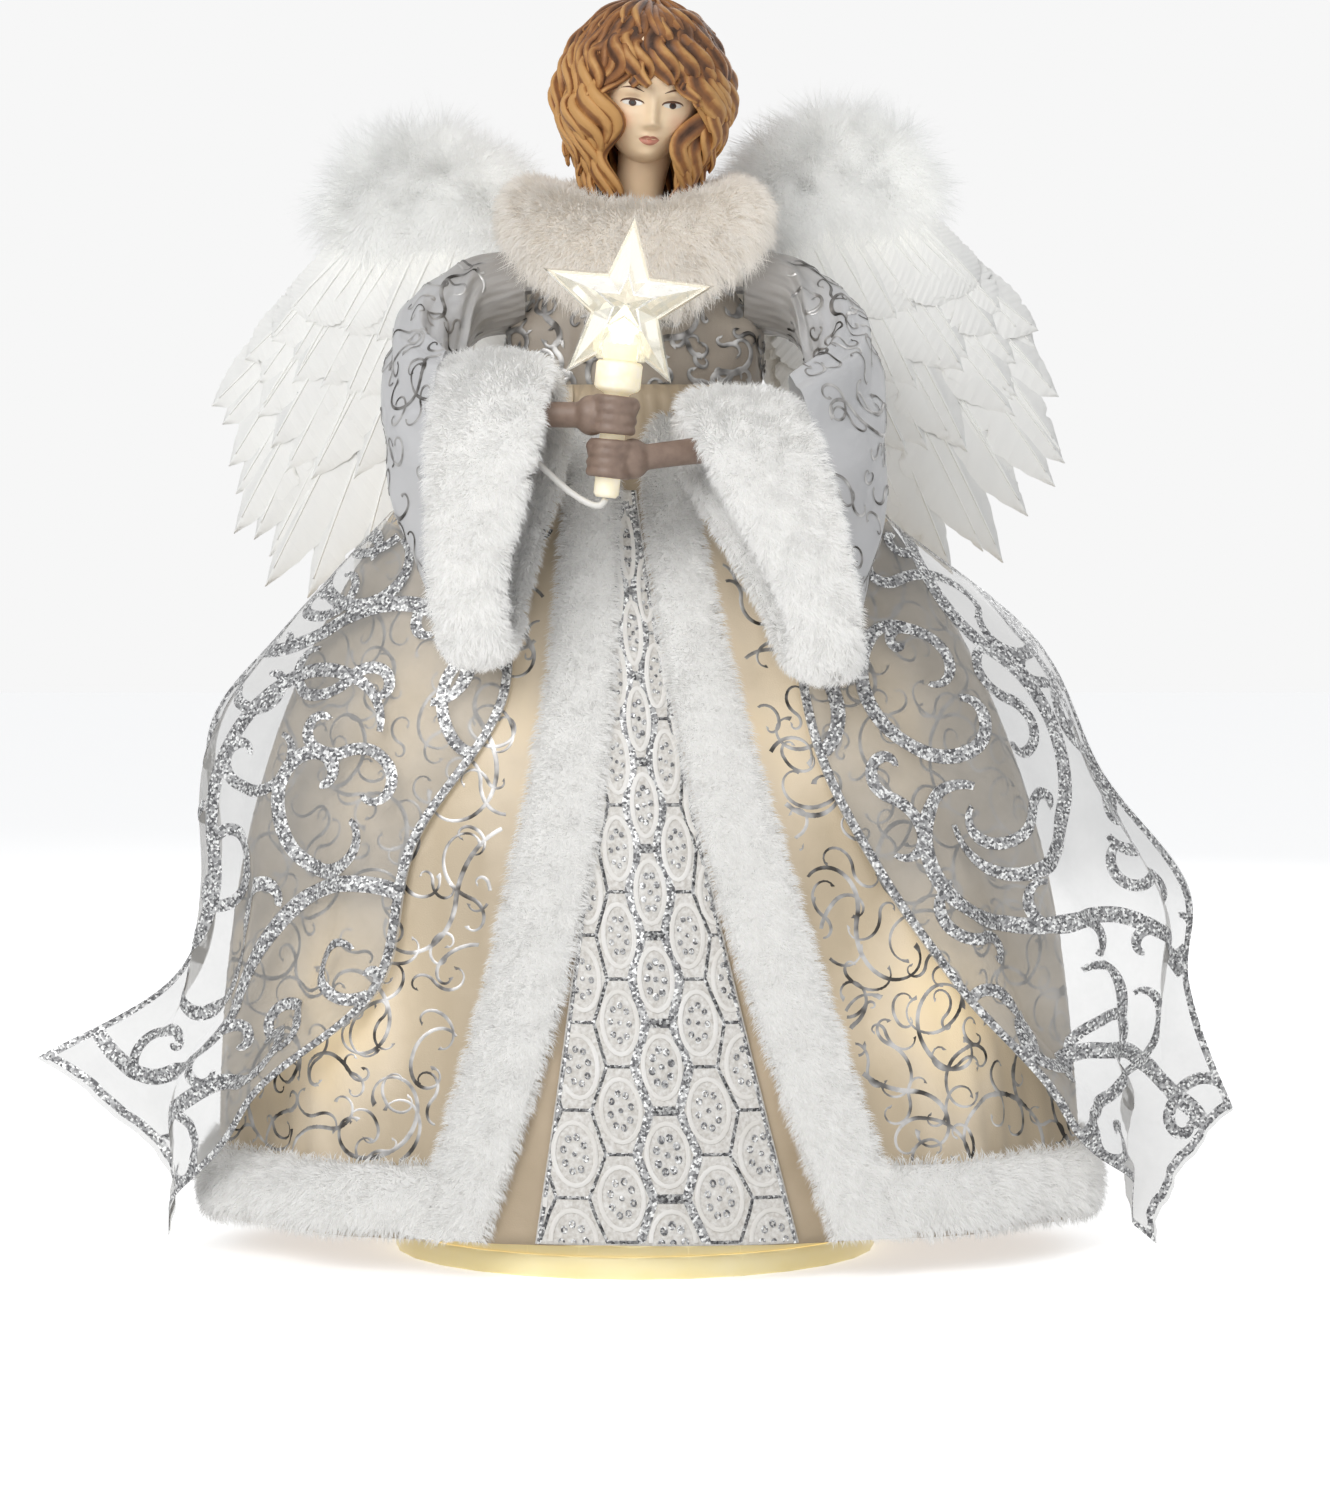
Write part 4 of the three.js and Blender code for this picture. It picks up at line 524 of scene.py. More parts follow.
def on_wing(side, points):
    """Wing points, made flat in X and Z about the pin, in their place."""
    p = turned_by(points, "y", math.radians(-WING_ROLL[side]))
    p = turned_by(p, "z", math.radians(WING_SWEEP)) + np.array([*WING_PIN, ARMS_Z])
    return p * np.array([-1, 1, 1]) if side == "left" else p


def arch(t):
    t = np.asarray(t, float)[..., None]
    return (1 - t) ** 2 * ARCH[0] + 2 * t * (1 - t) * ARCH[1] + t * t * ARCH[2]


def lamp_glow(points, reach):
    """How strongly the lamps in the cone light each point of the cloth over them."""
    total = 0
    for z in LAMP_HEIGHTS:
        out = 1.7 * (CONE_TOP_RADIUS + (CONE_TOP - z) * CONE_SLOPE)
        for angle in np.radians([s * a for s in (-1, 1) for a in LAMP_ANGLES]):
            spot = np.array([out * math.sin(angle), -out * math.cos(angle), z + 14])
            total = total + np.exp(-np.sum((points - spot) ** 2, axis=-1) / reach ** 2)
    return np.clip(total, 0, 1)


# Materials
class Look:
    """A node material, with its texture sizes in millimetres."""

    def __init__(self, name, color, rough, **sockets):
        self.name = name
        self.material = bpy.data.materials.new(name)
        self.material.use_nodes = True
        self.tree = self.material.node_tree
        self.shader = self.tree.nodes["Principled BSDF"]
        self.set(Base_Color=(*color, 1), Roughness=rough, **sockets)

    def join(self, value, socket):
        """Joins an output to a socket, or sets a plain value on it."""
        if hasattr(value, "is_output"):
            self.tree.links.new(value, socket)
        else:
            socket.default_value = value

    def set(self, **values):
        for name, value in values.items():
            self.join(value, self.shader.inputs[name.replace("_", " ")])
        return self

    def node(self, kind, **values):
        node = self.tree.nodes.new("ShaderNode" + kind)
        for name, value in values.items():
            self.join(value, node.inputs[name.replace("_", " ")])
        return node

    def place(self, stretch):
        spot = self.node("TexCoord").outputs["Object"]
        return self.node("Mapping", Vector=spot, Scale=stretch).outputs["Vector"]

    def noise(self, size, detail=4.0, stretch=(1, 1, 1)):
        spot = self.place(stretch)
        return self.node("TexNoise", Vector=spot, Scale=1 / (size * MM), Detail=detail).outputs["Fac"]

    def cells(self, size):
        grain = self.node("TexVoronoi", Vector=self.place((1, 1, 1)), Scale=1 / (size * MM))
        return self.node("SeparateColor", Color=grain.outputs["Color"]).outputs["Red"]

    def tone(self, name="tone"):
        node = self.node("Attribute")
        node.attribute_name = name
        return node.outputs["Fac"]

    def both(self, a, b, how="MULTIPLY"):
        node = self.node("Math")
        node.operation = how
        for value, socket in zip((a, b), node.inputs):
            self.join(value, socket)
        return node.outputs[0]

    def toned(self, size, share, stretch=(1, 1, 1)):
        """The tone given to each point, with some noise."""
        return self.both(self.tone(), self.both(self.noise(size, stretch=stretch), share), "ADD")

    def color(self, share, *stops):
        """Base colour from a share: stops are (place, colour)."""
        node = self.node("ValToRGB", Fac=share)
        ramp = node.color_ramp.elements
        while len(ramp) < len(stops):
            ramp.new(0.5)
        for element, (place, color) in zip(ramp, stops):
            element.position = place
            element.color = (*color, 1)
        return self.set(Base_Color=node.outputs["Color"])

    def bump(self, share, depth, strength=0.3):
        node = self.node("Bump", Height=share, Strength=strength, Distance=depth * MM)
        return self.set(Normal=node.outputs["Normal"])

    def woven(self, weave=0.35):
        return self.bump(self.noise(weave, 1.0), 0.12, 0.35)


def mottled(name, dark, light, rough, patch, stretch=(1, 1, 1), **sockets):
    """A look in patches of two colours."""
    look = Look(name, light, rough, **sockets)
    return look.color(look.noise(patch, stretch=stretch), (0.3, dark), (0.7, light))


def cloth(name, dark, light, rough, weave=0.35, patch=14, **sockets):
    return mottled(name, dark, light, rough, patch, Sheen_Weight=0.2, **sockets).woven(weave)


def plastic(name, dark, light, rough, grain=1.2):
    look = mottled(name, dark, light, rough, 6 * grain)
    return look.bump(look.noise(grain, 2.0), 0.04)


def fur_look(name, root, tip):
    look = Look(name, tip, 0.85, Sheen_Weight=0.25, Sheen_Roughness=0.5, Specular_IOR_Level=0.2)
    # The root colour is painted shade down among the hairs; the tip colour is the fur's own.
    return look.color(look.toned(9, 0.35), (0.15, root), (0.75, tip))


def metal(name, dark, light, rough, grain):
    look = Look(name, light, rough, Metallic=0.85)
    look.color(look.noise(grain, 2.0), (0.36, dark), (0.62, light))
    worn = look.node("MapRange", Value=look.noise(grain * 0.6), To_Min=rough, To_Max=rough + 0.25)
    return look.set(Roughness=worn.outputs["Result"])


def lit(name, dark, light, rough, patch, glow, strength):
    return mottled(name, dark, light, rough, patch, Emission_Color=(*glow, 1), Emission_Strength=strength)


def glitter():
    look = Look("silver glitter", (0.7, 0.7, 0.7), 0.45, Metallic=0.35)
    grain = look.cells(0.55)
    look.color(grain, (0.1, (0.1, 0.1, 0.105)), (0.45, (0.34, 0.34, 0.345)), (0.7, (0.5, 0.5, 0.5)),
               (0.92, (0.93, 0.93, 0.92)))
    return look.bump(grain, 0.25, 0.8)


def glowing_satin(name, dark, light, warm):
    """Cloth that the lamps behind it warm with a painted glow, and with painted shade in its fold valleys."""
    look = Look(name, light, 0.5, Sheen_Weight=0.2).woven()
    glow = look.both(look.both(look.noise(14), 0.4), look.both(look.tone(), 0.55), "ADD")
    # Painted shade: the fold valleys are drawn darker.
    shade = look.both(glow, look.both(look.tone("barb"), 0.3), "SUBTRACT")
    look.color(shade, (0.1, dark), (0.3, light), (0.85, warm))
    # Painted glow: the cloth is no lamp, but glows where the lamps behind it are near.
    return look.set(Emission_Color=(*warm, 1), Emission_Strength=look.both(look.tone(), 0.28))


def sleeve_cloth():
    look = Look("sheer silver cloth", (0.74, 0.74, 0.75), 0.4, Sheen_Weight=0.2, Alpha=0.76).woven()
    return look.color(look.toned(5, 0.35), (0.15, (0.4, 0.375, 0.35)), (0.6, (0.55, 0.54, 0.53)),
                      (1, (0.7, 0.7, 0.71)))


def feather_look():
    look = Look("feather", (0.93, 0.92, 0.89), 0.7, Sheen_Weight=0.2, Specular_IOR_Level=0.25)
    # The grey low end carries painted shade on the narrow vane.
    look.color(look.toned(3, 0.3, (1, 1, 0.3)), (0.15, (0.7, 0.7, 0.695)), (0.5, (0.88, 0.875, 0.85)),
               (0.95, (0.985, 0.98, 0.95)))
    return look.bump(look.tone("barb"), 0.3, 0.6)


def skin():
    look = Look("painted skin", (0.72, 0.55, 0.37), 0.42, Subsurface_Weight=0.05)
    # Low tones are painted shade, middle tones the skin and high tones the cheeks' blush.
    look.color(look.toned(7, 0.08), (0.08, (0.44, 0.28, 0.18)), (0.38, (0.94, 0.7, 0.46)),
               (0.5, (0.94, 0.71, 0.48)), (0.85, (0.88, 0.46, 0.28)))
    return look.bump(look.noise(0.6), 0.03)


def hair_look():
    look = Look("painted hair", (0.4, 0.2, 0.08), 0.48, Specular_IOR_Level=0.3)
    # Its darkest stop is painted shade in grooves and between locks, its lightest painted highlight.
    look.color(look.toned(2.5, 0.5), (0.14, (0.02, 0.008, 0.004)), (0.42, (0.155, 0.07, 0.034)),
               (0.74, (0.34, 0.145, 0.05)), (1, (0.6, 0.33, 0.12)))
    return look.bump(look.noise(0.7, 3.0), 0.15, 0.4)


def clear_star():
    # The cover is no lamp: its glow is painted light from the bulb inside it.
    look = Look("clear star", (1, 0.98, 0.9), 0.06, Transmission_Weight=0.85, IOR=1.46,
                Emission_Color=(1, 0.93, 0.68, 1), Emission_Strength=0.1)
    return look.bump(look.noise(2.5), 0.08, 0.25)


def make_looks():
    """All looks of the object, by name."""
    # The ring is no lamp: its glow is painted light from the lamps in the cone.
    ring = lit("lit ring", (0.86, 0.74, 0.4), (0.95, 0.88, 0.6), 0.35, 20, (1, 0.86, 0.45), 0.3)
    # The hands are drawn far darker than the face's skin: painted shade.
    hand = mottled("hand", (0.22, 0.15, 0.115), (0.31, 0.22, 0.17), 0.45, 3)
    looks = [
        fur_look("white fur", (0.76, 0.755, 0.74), (0.88, 0.875, 0.865)),
        # The collar's fur is the white fur drawn darker and warmer: painted shade under the chin and painted
        # warm light from the star.
        fur_look("shaded warm fur", (0.68, 0.63, 0.565), (0.84, 0.81, 0.765)),
        fur_look("wing down", (0.74, 0.74, 0.725), (0.87, 0.87, 0.86)),
        metal("silver foil", (0.06, 0.055, 0.05), (0.52, 0.51, 0.5), 0.32, 6),
        metal("steel", (0.5, 0.51, 0.52), (0.72, 0.73, 0.74), 0.3, 3),
        plastic("former", (0.7, 0.66, 0.58), (0.84, 0.81, 0.74), 0.75, 2),
        plastic("white plastic", (0.82, 0.8, 0.75), (0.92, 0.9, 0.86), 0.45),
        plastic("box plastic", (0.05, 0.052, 0.055), (0.09, 0.092, 0.096), 0.5, 0.5),
        plastic("dark wire", (0.02, 0.024, 0.02), (0.05, 0.055, 0.05), 0.5),
        cloth("lace", (0.62, 0.585, 0.535), (0.9, 0.88, 0.845), 0.8, 0.6, 1.0),
        cloth("lace cord", (0.8, 0.77, 0.72), (0.93, 0.91, 0.88), 0.6, 0.5),
        cloth("silver cloth", (0.28, 0.235, 0.19), (0.42, 0.365, 0.3), 0.45),
        cloth("sheer organza", (0.46, 0.455, 0.44), (0.6, 0.59, 0.57), 0.45, Alpha=0.46),
        glowing_satin("robe", (0.5, 0.41, 0.29), (0.68, 0.575, 0.435), (0.96, 0.76, 0.46)),
        glowing_satin("underskirt", (0.42, 0.33, 0.22), (0.55, 0.44, 0.31), (0.88, 0.66, 0.37)),
        mottled("cell", (0.4, 0.43, 0.45), (0.62, 0.65, 0.67), 0.28, 5, (1, 1, 0.1), Metallic=0.7),
        ring.bump(ring.noise(2), 0.03),
        hand.bump(hand.noise(0.6), 0.05),
        glitter(), sleeve_cloth(), feather_look(), skin(), hair_look(), clear_star(),
    ]
    # The lamps glow as lamps; the candle's cup is no lamp, and its glow is painted light from the star's
    # bulb.
    for name, strength in (("lamp", 1.0), ("lit cup", 0.26)):
        looks.append(lit(name, (0.96, 0.86, 0.62), (1, 0.95, 0.82), 0.3, 3, (1, 0.86, 0.55), strength))
    for name, color, rough in (
        ("eye white", (0.86, 0.82, 0.75), 0.25),
        ("iris", (0.06, 0.025, 0.012), 0.6),
        ("pupil", (0.008, 0.008, 0.008), 0.5),
        ("brow", (0.13, 0.06, 0.03), 0.6),
        ("lips", (0.62, 0.26, 0.18), 0.4),
    ):
        looks.append(mottled(name, tuple(0.8 * c for c in color), color, rough, 1.2))
    return {look.name: look.material for look in looks}


LOOKS = make_looks()


def placed(name, data):
    """A new object of the scene."""
    made = bpy.data.objects.new(name, data)
    bpy.context.scene.collection.objects.link(made)
    return made


# Meshes
class Shape:
    """Points and faces of one piece, gathered before its mesh is made."""

    def __init__(self):
        self.points, self.quads, self.tris, self.tones, self.barbs = [], [], [], [], []
        self.count = 0

    # The second attribute holds feather barbs for bumps, and the robe's painted shade in its fold valleys.
    def add(self, points, quads=(), tris=(), tone=0.0, barb=0.0):
        points = np.asarray(points, float).reshape(-1, 3)
        self.points.append(points)
        self.quads.append(np.asarray(quads, int).reshape(-1, 4) + self.count)
        self.tris.append(np.asarray(tris, int).reshape(-1, 3) + self.count)
        for values, value in ((self.tones, tone), (self.barbs, barb)):
            values.append(np.broadcast_to(np.asarray(value, float).ravel(), len(points)))
        self.count += len(points)
        return self

    def grid(self, points, around=False, closed=False, ends=False, **values):
        """A sheet of points: rows first. around joins the columns up, closed the rows, ends caps a tube."""
        rows, columns = points.shape[:2]
        i, j = np.indices((rows if closed else rows - 1, columns if around else columns - 1))
        n, m = (i + 1) % rows, (j + 1) % columns
        quads = np.stack([i * columns + j, i * columns + m, n * columns + m, n * columns + j], axis=-1)
        flat = points.reshape(-1, 3)
        tris = []
        if ends:
            first = rows * columns
            flat = np.concatenate([flat, [points[0].mean(0), points[-1].mean(0)]])
            k = np.arange(columns)
            step, foot = (k + 1) % columns, (rows - 1) * columns
            tris = np.concatenate([np.stack([np.full(columns, first), step, k], -1),
                                   np.stack([np.full(columns, first + 1), foot + k, foot + step], -1)])
            for name, value in values.items():
                if np.size(value) > 1:
                    value = np.broadcast_to(value, (rows, columns))
                    values[name] = np.concatenate([value.ravel(), [value[0, 0], value[-1, 0]]])
        return self.add(flat, quads, tris, **values)

    def tube(self, line, radius, sides, up=UP, flat=1.0, ridge=0.0, **values):
        """A closed tube along a line; up sets how a flat one lies, and ridge how deep its grooves are."""
        ahead = unit(np.gradient(line, axis=0))
        side = unit(np.cross(ahead, up))
        top = np.cross(side, ahead)
        a = TURN * np.arange(sides) / sides
        reach = np.broadcast_to(radius, len(line))[:, None, None] * (1 + ridge * np.cos(3 * a))[:, None]
        around = side[:, None] * np.cos(a)[:, None] + flat * top[:, None] * np.sin(a)[:, None]
        return self.grid(line[:, None] + reach * around, around=True, ends=True, **values)

    def turned(self, profile, sides, place=lambda p: p):
        """A turned body about Z from a closed profile of radius and height."""
        r, z = np.asarray(profile, float).T[..., None]
        a = TURN * np.arange(sides) / sides
        return self.grid(place(xyz(r * np.cos(a), r * np.sin(a), z)), around=True, closed=True)

    def mesh(self, name):
        points = np.concatenate(self.points) * MM
        quads, tris = np.concatenate(self.quads), np.concatenate(self.tris)
        corners = np.concatenate([quads.ravel(), tris.ravel()])
        sizes = np.concatenate([np.full(len(quads), 4), np.full(len(tris), 3)])
        mesh = bpy.data.meshes.new(name)
        mesh.vertices.add(len(points))
        mesh.vertices.foreach_set("co", points.astype(np.float32).ravel())
        mesh.loops.add(len(corners))
        mesh.loops.foreach_set("vertex_index", corners.astype(np.int32))
        mesh.polygons.add(len(sizes))
        mesh.polygons.foreach_set("loop_start", (np.cumsum(sizes) - sizes).astype(np.int32))
        mesh.polygons.foreach_set("use_smooth", np.ones(len(sizes), bool))
        for attribute, values in (("tone", self.tones), ("barb", self.barbs)):
            layer = mesh.attributes.new(attribute, "FLOAT", "POINT")
            layer.data.foreach_set("value", np.concatenate(values).astype(np.float32))
        mesh.update(calc_edges=True)
        mesh.validate()
        return mesh

    def piece(self, name, look, body, slot, replaces=(), thick=0.0, crisp=False):
        """Makes the piece: it rides on a body, and may stand for solids."""
        made = placed(name, self.mesh(name))
        made.data.materials.append(LOOKS[look])
        if crisp:
            made.data.polygons.foreach_set("use_smooth", np.zeros(len(made.data.polygons), bool))
        if thick:
            layer = made.modifiers.new("thickness", "SOLIDIFY")
            layer.thickness = thick * MM
            layer.offset = 0
        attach(made, body)
        if replaces:
            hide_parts(*replaces)
        return made


def scatter(surface, count, rng, flip):
    """Evenly spread places on a surface, with its normals and the way its first share leads there."""
    step = 1e-3
    cells = np.array([160, 48])
    u, v = ((n.ravel() + 0.5) / size for n, size in zip(np.indices(cells), cells))

    def directions(u, v):
        p = surface(u, v)
        return p, surface(u + step, v) - p, surface(u, v + step) - p

    _, pu, pv = directions(u, v)
    area = np.linalg.norm(np.cross(pu, pv), axis=-1)
    pick = rng.choice(len(area), count, p=area / area.sum())
    u, v = (np.clip(n[pick] + rng.uniform(-0.5, 0.5, count) / size, 0, 1 - step)
            for n, size in zip((u, v), cells))
    p, pu, pv = directions(u, v)
    return p, unit(np.cross(pv, pu) if flip else np.cross(pu, pv)), unit(pu)


def strands(root, normal, comb, length, radius, lie, rng):
    """Tapered flat hairs: each leaves its root along the normal and bends over the way it is combed."""
    count = len(root)
    length, lie = length[:, None], lie[:, None]
    middle = root + length * ((0.52 - 0.16 * lie) * normal + 0.18 * lie * comb)
    tip = root + length * ((0.98 - 0.6 * lie) * normal + 0.78 * lie * comb)
    side = unit(np.cross(normal, comb) + 1e-6)
    twist = rng.uniform(-0.5, 0.5, count)[:, None] * np.pi
    wide = radius * (np.cos(twist) * side + np.sin(twist) * np.cross(side, normal))
    points = np.stack([root - wide, root + wide, middle + 0.75 * wide, middle - 0.75 * wide, tip], axis=1)
    start = 5 * np.arange(count)[:, None]
    # Tone rises from root to tip: painted shade down among the hairs.
    tone = np.broadcast_to([0.1, 0.1, 0.55, 0.55, 1], (count, 5))
    return Shape().add(points, start + np.array([0, 1, 2, 3]), start + np.array([3, 2, 4]), tone=tone)


def fur(node, surface, piles, look, body, comb, seed, slot="fur", lie=0.5, flip=False, around=False,
        closed=False, longer=lambda p, n: 1):
    """A fur piece in place of a solid: its backing and its piles, combed one way and ruffled.

    comb gives the way from the place, the normal and the surface's own way, and longer says how much longer
    the hairs are at some places.
    """
    rng = np.random.default_rng(seed)
    # The backing takes a low tone: painted shade under the pile.
    backing = Shape().grid(surface(*share_grid(160, 40, closed, around)), around, closed, tone=0.3)
    backing.piece(f"{node}_backing", look, body, slot, [node])
    for pile, end in zip(piles, ("_pile", "_pile_long")):
        count, length, radius = PILES[pile]
        p, n, way = scatter(surface, count, rng, flip)
        ruffle = 0.45 * ripple(p, 7, seed) + 0.25 * ripple(p, 2.6, seed + 50) + 0.3 * rng.normal(size=p.shape)
        way = comb(p, n, way) + 0.8 * ruffle
        way = unit(way - np.sum(way * n, axis=-1, keepdims=True) * n)
        uneven = rng.uniform(0.65, 1.1, count) * (1 + 0.15 * ripple(p, 9, seed + 9)[:, 0])
        bend = lie * rng.uniform(0.6, 1.2, count)
        hairs = strands(p, unit(n + 0.35 * ruffle), way, length * longer(p, n) * uneven, radius, bend, rng)
        hairs.piece(node + end, look, body, slot).visible_shadow = False


def lines_on(surface, u, v, heading, length, bend_start, bend_end, steps):
    """Lines drawn on a surface, each from a share (u, v), curling more as it goes.

    Returns the shares along each line, and the shares that lead one millimetre to its side.
    """
    stride = length / steps
    e = 1e-4
    path, sides = [], []
    for n in range(steps + 1):
        p = surface(u, v)
        pu, pv = (surface(u + e, v) - p) / e, (surface(u, v + e) - p) / e
        wide = np.maximum(np.linalg.norm(pu, axis=-1), 1e-3)
        e1 = pu / wide[:, None]
        shear = np.sum(pv * e1, axis=-1)
        tall = np.maximum(np.linalg.norm(pv - shear[:, None] * e1, axis=-1), 1e-3)

        def in_shares(a, b):
            return np.stack([(a - b / tall * shear) / wide, b / tall], axis=-1)

        step = in_shares(np.cos(heading), np.sin(heading))
        path.append(np.stack([u, v], -1))
        sides.append(in_shares(-np.sin(heading), np.cos(heading)))
        u, v = u + step[:, 0] * stride, v + step[:, 1] * stride
        heading = heading + stride * lerp(bend_start, bend_end, (n / steps) ** 2)
    return np.stack(path, 1), np.stack(sides, 1)


def bands(shape, surface, path, sides, width, lift, inside=None):
    """Raised bands along lines on a surface, as wide as told all along or at each point."""
    count, steps = path.shape[:2]
    width = np.broadcast_to(width, (count, steps))
    rows = []
    for across, rise in ((-0.5, 0.0), (0.0, 0.16), (0.5, 0.0)):
        at = path + (across * width)[..., None] * sides
        rows.append(surface(at[..., 0], at[..., 1], lift + rise))
    points = np.stack(rows, axis=2)
    shown = inside(path[..., 0], path[..., 1]) if inside else np.ones((count, steps), bool)
    line, step = np.nonzero(shown[:, :-1] & shown[:, 1:])
    base = (line * steps + step) * 3
    quads = np.concatenate([base[:, None] + np.array([0, 1, 4, 3]) + k for k in (0, 1)])
    used, quads = np.unique(quads, return_inverse=True)
    shape.add(points.reshape(-1, 3)[used], quads.reshape(-1, 4))


def within(u, v):
    low, high = PRINT_EDGE, 1 - PRINT_EDGE
    return (u > low) & (u < high) & (v > low) & (v < high)


def flourishes(surface, tries, length, curl, clear, rng, steps, taken):
    """Scroll lines that keep clear of each other: each runs from one spiral, through its middle, to another.

    curl is how far, in radians, a line turns on each side of its middle, and taken holds the cells of space
    that are drawn in already.
    """
    u, v = rng.uniform(0, 1, (2, tries))
    heading = rng.uniform(0, TURN, tries)
    turn = rng.choice([-1, 1], tries)
    back_turn = turn * rng.choice([-1, 1, 1], tries)
    back_share = rng.uniform(0.35, 0.9, tries)
    halves = []
    for way, swing, share in ((0, turn, 1), (np.pi, back_turn, back_share)):
        long = share * rng.uniform(*length, tries)
        end = swing * rng.uniform(*curl, tries) / (0.5 * long)
        halves.append(lines_on(surface, u, v, heading + way, long, 0.25 * end, end, steps))
    (path, sides), (back, back_sides) = halves
    path = np.concatenate([back[:, :0:-1], path], axis=1)
    sides = np.concatenate([-back_sides[:, :0:-1], sides], axis=1)
    cells = np.floor(surface(path[..., 0], path[..., 1]) / clear).astype(int)
    near = [(i, j, k) for i in (-1, 0, 1) for j in (-1, 0, 1) for k in (-1, 0, 1)]
    kept = []
    for n in np.nonzero(within(path[..., 0], path[..., 1]).mean(1) > 0.7)[0]:
        line = [tuple(cell) for cell in cells[n]]
        if taken.isdisjoint(line):
            kept.append(n)
            taken.update((x + i, y + j, z + k) for x, y, z in line for i, j, k in near)
    return path[kept], sides[kept]


def scrolls(surface, plan, curl, swell, lift, seed):
    """Scrolls over a cloth: large ones first, then smaller ones in the room that is left.

    The plan's rows are the tries, the shortest and longest half, the width, the steps and the room to keep.
    swell gives the width along a scroll, from -1 at one end to 1 at the other.
    """
    shape, rng, taken = Shape(), np.random.default_rng(seed), set()
    for tries, length, width, steps, clear in plan:
        path, sides = flourishes(surface, tries, length, curl, clear, rng, steps, taken)
        bands(shape, surface, path, sides, width * swell(np.linspace(-1, 1, 2 * steps + 1)), lift, within)
    return shape


def foil_scrolls(surface, tries, scale, width, seed):
    """Printed foil: scrolls that are thick in the middle and end in a dot."""
    plan = []
    for size, share, steps, clear in FOIL_SIZES:
        length = (0.8 * size * scale, 1.25 * size * scale)
        plan.append((share * tries, length, width * (0.55 + 0.45 * size), steps, clear))

    def swell(t):
        return 0.45 + 0.65 * np.cos(0.5 * np.pi * t) + 0.9 * np.exp(-((1 - np.abs(t)) / 0.05) ** 2)

    return scrolls(surface, plan, (3.4, 5.6), swell, FOIL_LIFT, seed)


# The pieces
def shown_direct(tree):
    """1 for rays from the camera, or sent on by a shiny or clear surface, and 0 for light on the object."""
    path = tree.nodes.new("ShaderNodeLightPath").outputs
    share = path["Is Camera Ray"]
    for ray in ("Is Glossy Ray", "Is Transmission Ray"):
        either = tree.nodes.new("ShaderNodeMath")
        either.operation = "MAXIMUM"
        tree.links.new(share, either.inputs[0])
        tree.links.new(path[ray], either.inputs[1])
        share = either.outputs[0]
    return share


def vector_turn(aim):
    """Turn that points a camera's or lamp's -Z along a direction, with its top up."""
    level = math.hypot(aim[0], aim[1])
    return (math.pi / 2 + math.atan2(aim[2], level), 0, math.atan2(aim[1], aim[0]) - math.pi / 2)


def make_stage():
    """A flat pale floor that is clear from below, a white surround, soft lamps and the camera."""
    across = np.linspace(-FLOOR_HALF, FLOOR_HALF, 3) / MM
    floor = placed("floor", Shape().grid(xyz(across[None, :], across[:, None], 0)).mesh("floor"))
    paper = Look("floor", (0.92, 0.92, 0.915), 0.9, Emission_Color=(1, 1, 1, 1))
    below = paper.node("NewGeometry").outputs["Backfacing"]
    paper.set(Emission_Strength=paper.both(shown_direct(paper.tree), FLOOR_GLOW),
              Alpha=paper.both(1, below, "SUBTRACT"))
    floor.data.materials.append(paper.material)

    scene = bpy.context.scene
    scene.world = bpy.data.worlds.new("studio")
    scene.world.use_nodes = True
    tree = scene.world.node_tree
    light = tree.nodes["Background"]
    light.inputs["Color"].default_value = (0.95, 0.97, 1, 1)
    light.inputs["Strength"].default_value = SKY_LIGHT
    surround = tree.nodes.new("ShaderNodeBackground")
    surround.inputs["Color"].default_value = (SURROUND, SURROUND, SURROUND, 1)
    mix = tree.nodes.new("ShaderNodeMixShader")
    for k, output in enumerate((shown_direct(tree), light.outputs[0], surround.outputs[0])):
        tree.links.new(output, mix.inputs[k])
    tree.links.new(mix.outputs[0], tree.nodes["World Output"].inputs["Surface"])
    for name, (spot, size, power) in LIGHTS.items():
        data = bpy.data.lights.new(name, "AREA")
        data.size = size
        data.energy = power
        lamp = placed(name, data)
        lamp.location = spot
        lamp.rotation_euler = vector_turn(LIGHT_TARGET - np.array(spot))

    camera = placed("camera", bpy.data.cameras.new("camera"))
    camera.data.sensor_width = 36
    camera.data.lens = CAMERA_LENS
    camera.location = CAMERA_AT
    camera.rotation_euler = vector_turn(CAMERA_AIM)
    camera.data.clip_end = CAMERA_REACH
    scene.camera = camera
    scene.view_settings.view_transform = "Standard"
    scene.cycles.diffuse_bounces = 8
    scene.cycles.transparent_max_bounces = 24


def make_foot():
    top = BASE_RADIUS - RING_STEP
    wall = top - RING_WALL
    inner, step = wall - RING_LEDGE, RING_HEIGHT - RING_STEP_HEIGHT
    rim = Shape().turned([
        (inner, 0), (BASE_RADIUS - 0.6, 0), (BASE_RADIUS, 0.6), (BASE_RADIUS, step - 0.5),
        (BASE_RADIUS - 0.4, step), (top + 0.2, step), (top, step + 0.3), (top, RING_HEIGHT - 0.6),
        (top - 0.5, RING_HEIGHT), (wall + 0.4, RING_HEIGHT), (wall, RING_HEIGHT - 0.4), (wall, RING_FLOOR),
        (inner, RING_FLOOR),
    ], 160)
    rim.piece("ring_rim", "lit ring", "figure", "ring_plastic")


